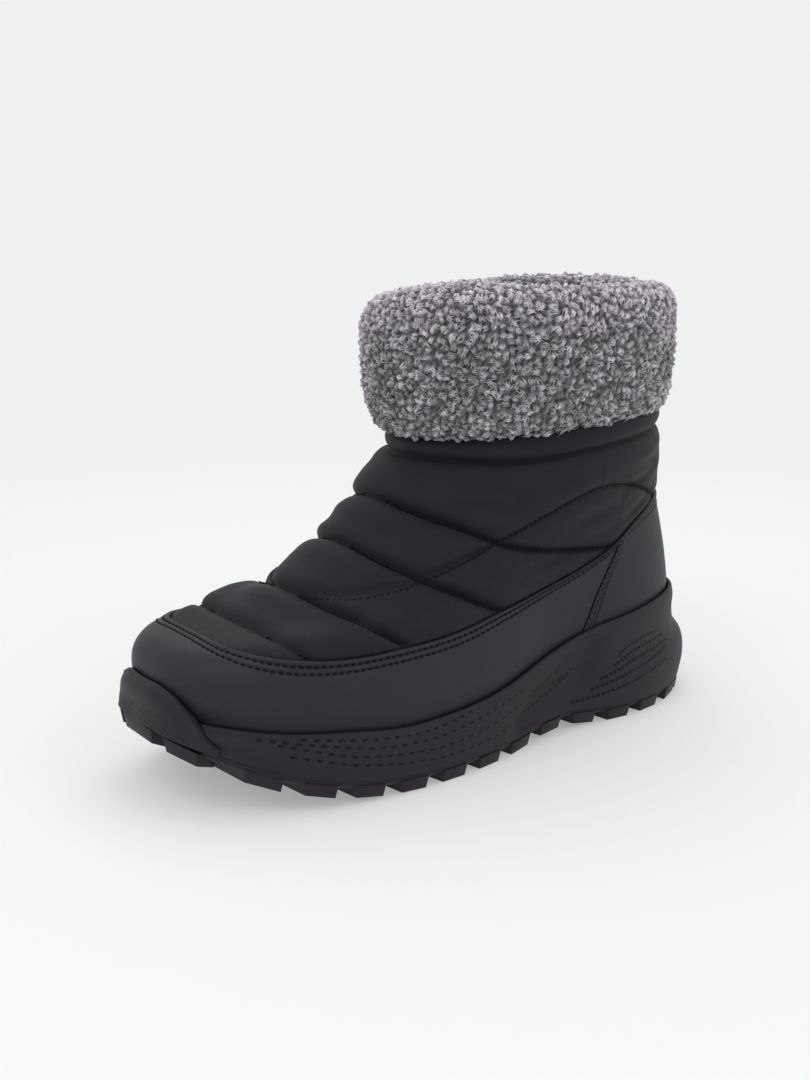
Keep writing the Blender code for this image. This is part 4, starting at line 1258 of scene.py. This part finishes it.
def mix_colour(tree, factor, low, high):
    """Mix of two colours, each a triple or a socket."""
    node = tree.nodes.new("ShaderNodeMix")
    node.data_type = "RGBA"
    tree.links.new(factor, node.inputs["Factor"])
    for name, colour in (("A", low), ("B", high)):
        socket = next(s for s in node.inputs if s.name == name and s.type == "RGBA")
        if isinstance(colour, tuple):
            socket.default_value = (*colour, 1)
        else:
            tree.links.new(colour, socket)
    return next(s for s in node.outputs if s.type == "RGBA")


def attribute_of(tree, name):
    node = tree.nodes.new("ShaderNodeAttribute")
    node.attribute_name = name
    return node.outputs["Fac"]


def make_finish(name, plain, roughness, specular, colour_of, rough=None, sheen=None, bumps=()):
    """Principled material: plain colour, roughness and specular level, its colour from nodes, the size and
    limits of uneven roughness, sheen, and bumps (pattern, its sizes, depth in millimetres, strength)."""
    made = bpy.data.materials.new(name)
    made.use_nodes = True
    tree = made.node_tree
    shader = tree.nodes["Principled BSDF"]
    shader.inputs["Base Color"].default_value = (*plain, 1)
    shader.inputs["Roughness"].default_value = roughness
    shader.inputs["Specular IOR Level"].default_value = specular
    shader.inputs["Specular Tint"].default_value = SPECULAR_TINT
    tree.links.new(colour_of(tree), shader.inputs["Base Color"])
    if rough:
        size, *limits = rough
        tree.links.new(ramp_of(tree, noise_of(tree, size), *limits), shader.inputs["Roughness"])
    if sheen:
        shader.inputs["Sheen Weight"].default_value, shader.inputs["Sheen Roughness"].default_value = sheen
    into = shader.inputs["Normal"]
    for pattern, sizes, depth, strength in reversed(bumps):
        node = add_node(tree, "ShaderNodeBump", Strength=strength, Distance=depth * MM)
        tree.links.new(pattern(tree, *sizes), node.inputs["Height"])
        tree.links.new(node.outputs["Normal"], into)
        into = node.inputs["Normal"]
    return made


def patches(sizes, low, high, attribute=None, painted_shade=None):
    """Colour in patches between two others, and darkened to a painted shade where the mesh has an attribute.
    """
    def colour_of(tree):
        colour = mix_colour(tree, noise_of(tree, *sizes), low, high)
        return mix_colour(tree, attribute_of(tree, attribute), colour, painted_shade) if attribute else colour

    return colour_of


def pile(attribute=None):
    """Colour of grey pile, painted dark with shade at its roots and pale at its tips, by an attribute or by
    scattered cells whose cracks are painted dark with shade.
    """
    def colour_of(tree):
        patch = ramp_of(tree, noise_of(tree, *PILE_PATCH), 0, 1, *PATCH_LIMITS)
        colour = mix_colour(tree, patch, *PILE_GREYS)
        if attribute:
            # Painted shade and highlight from the mesh's attribute: dark roots, dark ground, pale crest.
            light = ramp_of(tree, attribute_of(tree, attribute), 0, 1, *LIGHT_LIMITS)
            colour = mix_colour(tree, light, PILE_ROOT, colour)
        else:
            # Shade painted dark in the cracks between clumps.
            colour = mix_colour(tree, cells_of(tree, PILE_CELLS), colour, PILE_CRACK)
        tip = ramp_of(tree, noise_of(tree, *PILE_FIBRE), 0, TIP_SHARE, *TIP_LIMITS)
        return mix_colour(tree, tip, colour, PILE_TIP)

    return colour_of


def thread_finish(dark, light):
    """Bonded thread with a twist, between two greys; it also makes the thread painted lighter as a highlight
    and the dark of the painted slot shadows.
    """
    dark, light = (dark, dark, dark), (light, light, light)
    return {
        "plain": light, "roughness": 0.5, "specular": 0.15, "colour_of": patches(THREAD_TWIST, dark, light),
        "bumps": [(noise_of, THREAD_TWIST, 0.08, 0.6)],
    }


def fleece_finish(attribute=None):
    """Grey curly pile, with painted shade at its roots or in its cracks."""
    return {
        "plain": (0.3, 0.28, 0.3), "roughness": 0.9, "specular": 0.1, "colour_of": pile(attribute),
        "sheen": (0.15, 0.6), "bumps": [(noise_of, PILE_FIBRE, 0.4, 0.6)],
    }


# Woven nylon with shade painted dark in its seams, a coat with shade painted dark in its stitched grooves,
# foam, rubber, threads (one painted lighter as a highlight, one the painted shadow of the slots), pile with
# painted shade and highlight, and felt.
FINISHES = {
    "quilted_nylon_cloth": {
        "plain": (0.010, 0.0095, 0.011), "roughness": 0.62, "specular": 0.14,
        # Shade painted dark along the quilting seams, by the mesh's attribute.
        "colour_of": patches(
            (14, 4), (0.0112, 0.0100, 0.0134), (0.0165, 0.0148, 0.0195), "seam_shade", (0.004, 0.0036, 0.0046),
        ),
        "rough": (3, 0.56, 0.70), "sheen": (0.03, 0.5),
        "bumps": [(noise_of, (5, 3), 0.4, 0.16), (noise_of, (0.35, 2), 0.06, 0.5)],
    },
    "smooth_coated": {
        "plain": (0.014, 0.0135, 0.015), "roughness": 0.5, "specular": 0.33,
        # Shade painted dark in the stitched grooves, by the mesh's attribute.
        "colour_of": patches(
            (20, 4), (0.0120, 0.0106, 0.0140), (0.0166, 0.0147, 0.0190), "groove", (0.006, 0.0054, 0.0068),
        ),
        "rough": (1.2, 0.46, 0.60),
        "bumps": [(noise_of, (6, 2), 0.3, 0.10), (cells_of, (0.55,), 0.05, 0.35)],
    },
    "midsole_skin": {
        "plain": (0.012, 0.0117, 0.013), "roughness": 0.55, "specular": 0.28,
        "colour_of": patches((12, 3), (0.0106, 0.0095, 0.0124), (0.0146, 0.0131, 0.0168)),
        "rough": (2, 0.50, 0.64), "bumps": [(noise_of, (0.5, 3), 0.08, 0.4)],
    },
    "moulded_rubber": {
        "plain": (0.010, 0.0097, 0.0108), "roughness": 0.5, "specular": 0.30,
        "colour_of": patches((9, 4), (0.0085, 0.0076, 0.0099), (0.0132, 0.0118, 0.0152)),
        "rough": (2.5, 0.44, 0.60), "bumps": [(noise_of, (0.6, 3), 0.06, 0.4)],
    },
    "bonded_thread": thread_finish(0.0015, 0.005),
    # Thread painted lighter as a highlight, for the heel counter's stitches.
    "strip_thread_highlight": thread_finish(0.028, 0.065),
    # The painted shadow of the midsole's slots.
    "slot_shade": thread_finish(0.0015, 0.004),
    "fleece_pile": fleece_finish("light"),
    "fleece_lining": fleece_finish(),
    "footbed_felt": {
        "plain": (0.16, 0.155, 0.16), "roughness": 0.95, "specular": 0.1,
        "colour_of": patches(FELT_FIBRE, (0.11, 0.106, 0.112), (0.21, 0.205, 0.212)),
        "sheen": (0.2, 0.5), "bumps": [(noise_of, FELT_FIBRE, 0.3, 0.6)],
    },
}


# Stage: pale sweep, soft light and the photograph's camera

CAMERA_AZIMUTH = math.radians(54.0)
CAMERA_ELEVATION = math.radians(13.72)
CAMERA_ROLL = math.radians(0.22)
CAMERA_DISTANCE = 0.5902
CAMERA_ASIDE = -0.0121
CAMERA_HEIGHT = 0.0824
FOCAL_PIXELS = 1390.0
IMAGE_HEIGHT = 1080
SENSOR = 36.0
CAMERA_BACK = Vector((
    math.sin(CAMERA_AZIMUTH) * math.cos(CAMERA_ELEVATION),
    -math.cos(CAMERA_AZIMUTH) * math.cos(CAMERA_ELEVATION),
    math.sin(CAMERA_ELEVATION),
))
CAMERA_RIGHT = Vector((math.cos(CAMERA_AZIMUTH), math.sin(CAMERA_AZIMUTH), 0))
CAMERA_AHEAD = Vector((-math.sin(CAMERA_AZIMUTH), math.cos(CAMERA_AZIMUTH), 0))
BACKDROP = (0.865, 0.880, 0.872, 1)
FLOOR_COLOUR = (0.86, 0.865, 0.86, 1)
FLOOR_GLOW = 0.35
FLOOR_NEAR = 0.30
FLOOR_FAR = 0.75
SWEEP_HUB = 0.001
SWEEP_NEAR = 0.5
SWEEP_RADIUS = 4.0
SWEEP_FLAT = 2.6
SWEEP_HEIGHT = 6.0
SWEEP_TURNS = 64
SWEEP_STEPS = 14
LIGHTS = table("aside back height size power", [
    (-0.5, 0.8, 1.2, 1.0, 4.6), (0.1, -0.5, 1.7, 1.4, 8.8), (1.1, 0.5, 0.9, 0.9, 2.0),
])
AIM_HEIGHT = 0.08
WORLD_LIGHT = 0.56


def make_camera():
    """The photograph's camera."""
    level_up = CAMERA_BACK.cross(CAMERA_RIGHT)
    right = CAMERA_RIGHT * math.cos(CAMERA_ROLL) + level_up * math.sin(CAMERA_ROLL)
    up = level_up * math.cos(CAMERA_ROLL) - CAMERA_RIGHT * math.sin(CAMERA_ROLL)
    place = CAMERA_RIGHT * CAMERA_ASIDE + Vector((0, 0, CAMERA_HEIGHT)) + CAMERA_BACK * CAMERA_DISTANCE
    data = bpy.data.cameras.new("photo_camera")
    data.sensor_fit = "VERTICAL"
    data.sensor_height = SENSOR
    data.lens = FOCAL_PIXELS / IMAGE_HEIGHT * SENSOR
    camera = bpy.data.objects.new("photo_camera", data)
    bpy.context.scene.collection.objects.link(camera)
    camera.matrix_world = Matrix([*zip(right, up, CAMERA_BACK, place), (0, 0, 0, 1)])
    bpy.context.scene.camera = camera


def floor_material():
    """White floor that takes shadow near the boot and shines evenly further out."""
    made = bpy.data.materials.new("pale_sweep")
    made.use_nodes = True
    tree = made.node_tree
    tree.nodes.clear()
    matte = add_node(tree, "ShaderNodeBsdfDiffuse", Color=FLOOR_COLOUR)
    glow = add_node(tree, "ShaderNodeEmission", Color=BACKDROP, Strength=1.0)
    length = tree.nodes.new("ShaderNodeVectorMath")
    length.operation = "LENGTH"
    tree.links.new(coordinates(tree), length.inputs[0])
    both = tree.nodes.new("ShaderNodeMixShader")
    share = ramp_of(tree, length.outputs["Value"], FLOOR_GLOW, 1, FLOOR_NEAR, FLOOR_FAR)
    tree.links.new(share, both.inputs["Fac"])
    tree.links.new(matte.outputs["BSDF"], both.inputs[1])
    tree.links.new(glow.outputs["Emission"], both.inputs[2])
    out = tree.nodes.new("ShaderNodeOutputMaterial")
    tree.links.new(both.outputs["Shader"], out.inputs["Surface"])
    return made


def make_sweep():
    """Round floor that curves up into a wall all about."""
    bend = SWEEP_RADIUS - SWEEP_FLAT
    profile = [(SWEEP_HUB, 0), (SWEEP_NEAR, 0), (SWEEP_FLAT, 0)]
    for t in np.linspace(0, math.pi / 2, SWEEP_STEPS)[1:]:
        profile.append((SWEEP_FLAT + bend * math.sin(t), bend * (1 - math.cos(t))))
    profile.append((SWEEP_RADIUS, SWEEP_HEIGHT))
    turn = np.arange(SWEEP_TURNS) * TURN / SWEEP_TURNS
    points = [(r * math.cos(t), r * math.sin(t), z) for r, z in profile for t in turn]
    mesh = bpy.data.meshes.new("floor")
    mesh.from_pydata(points, [], grid_faces(len(profile), SWEEP_TURNS))
    mesh.materials.append(floor_material())
    mesh.shade_smooth()
    floor = bpy.data.objects.new("floor", mesh)
    bpy.context.scene.collection.objects.link(floor)


def make_lights():
    """Large soft lamps, placed by the camera's right and back directions, and an even sky."""
    world = bpy.data.worlds.new("studio")
    world.use_nodes = True
    world.node_tree.nodes["Background"].inputs["Color"].default_value = BACKDROP
    world.node_tree.nodes["Background"].inputs["Strength"].default_value = WORLD_LIGHT
    bpy.context.scene.world = world
    for i, row in enumerate(zip(*LIGHTS.values())):
        aside, back, height, size, power = map(float, row)
        data = bpy.data.lights.new(f"soft_lamp_{i}", "AREA")
        data.size = size
        data.energy = power
        lamp = bpy.data.objects.new(data.name, data)
        lamp.location = CAMERA_RIGHT * aside - CAMERA_AHEAD * back + Vector((0, 0, height))
        aim = Vector((0, 0, AIM_HEIGHT)) - lamp.location
        lamp.rotation_euler = aim.to_track_quat("-Z", "Y").to_euler()
        bpy.context.scene.collection.objects.link(lamp)


def main():
    finish = {name: make_finish(name, **values) for name, values in FINISHES.items()}
    smooth, rubber = finish["smooth_coated"], finish["moulded_rubber"]
    dark_thread, highlight_thread = finish["bonded_thread"], finish["strip_thread_highlight"]
    surface = make_shell(finish["quilted_nylon_cloth"], finish["fleece_lining"])
    make_stitches("quilting_stitches", seam_stitches(surface), dark_thread)
    ends = COUNTER_COLUMN, COLUMNS - COUNTER_COLUMN
    guard = make_overlay("mudguard", -COUNTER_COLUMN, COUNTER_COLUMN, MUDGUARD_COLUMNS, smooth, False)
    counter = make_overlay("heel_counter", *ends, COUNTER_COLUMNS, smooth, True)
    make_stitches("mudguard_stitches", overlay_stitches(guard[0]), dark_thread)
    # The heel counter's stitches take thread painted lighter as a highlight.
    make_stitches("counter_stitches", overlay_stitches(counter[0]), highlight_thread)
    make_stitches("strip_stitches", strip_stitches(*counter), highlight_thread)
    make_midsole(finish["midsole_skin"], finish["slot_shade"])
    make_insole(finish["footbed_felt"])
    make_bumper(rubber)
    make_outsole(rubber)
    make_cuff(finish["fleece_pile"])
    make_sweep()
    make_lights()
    make_camera()
    bpy.context.scene.view_settings.view_transform = "Standard"


main()
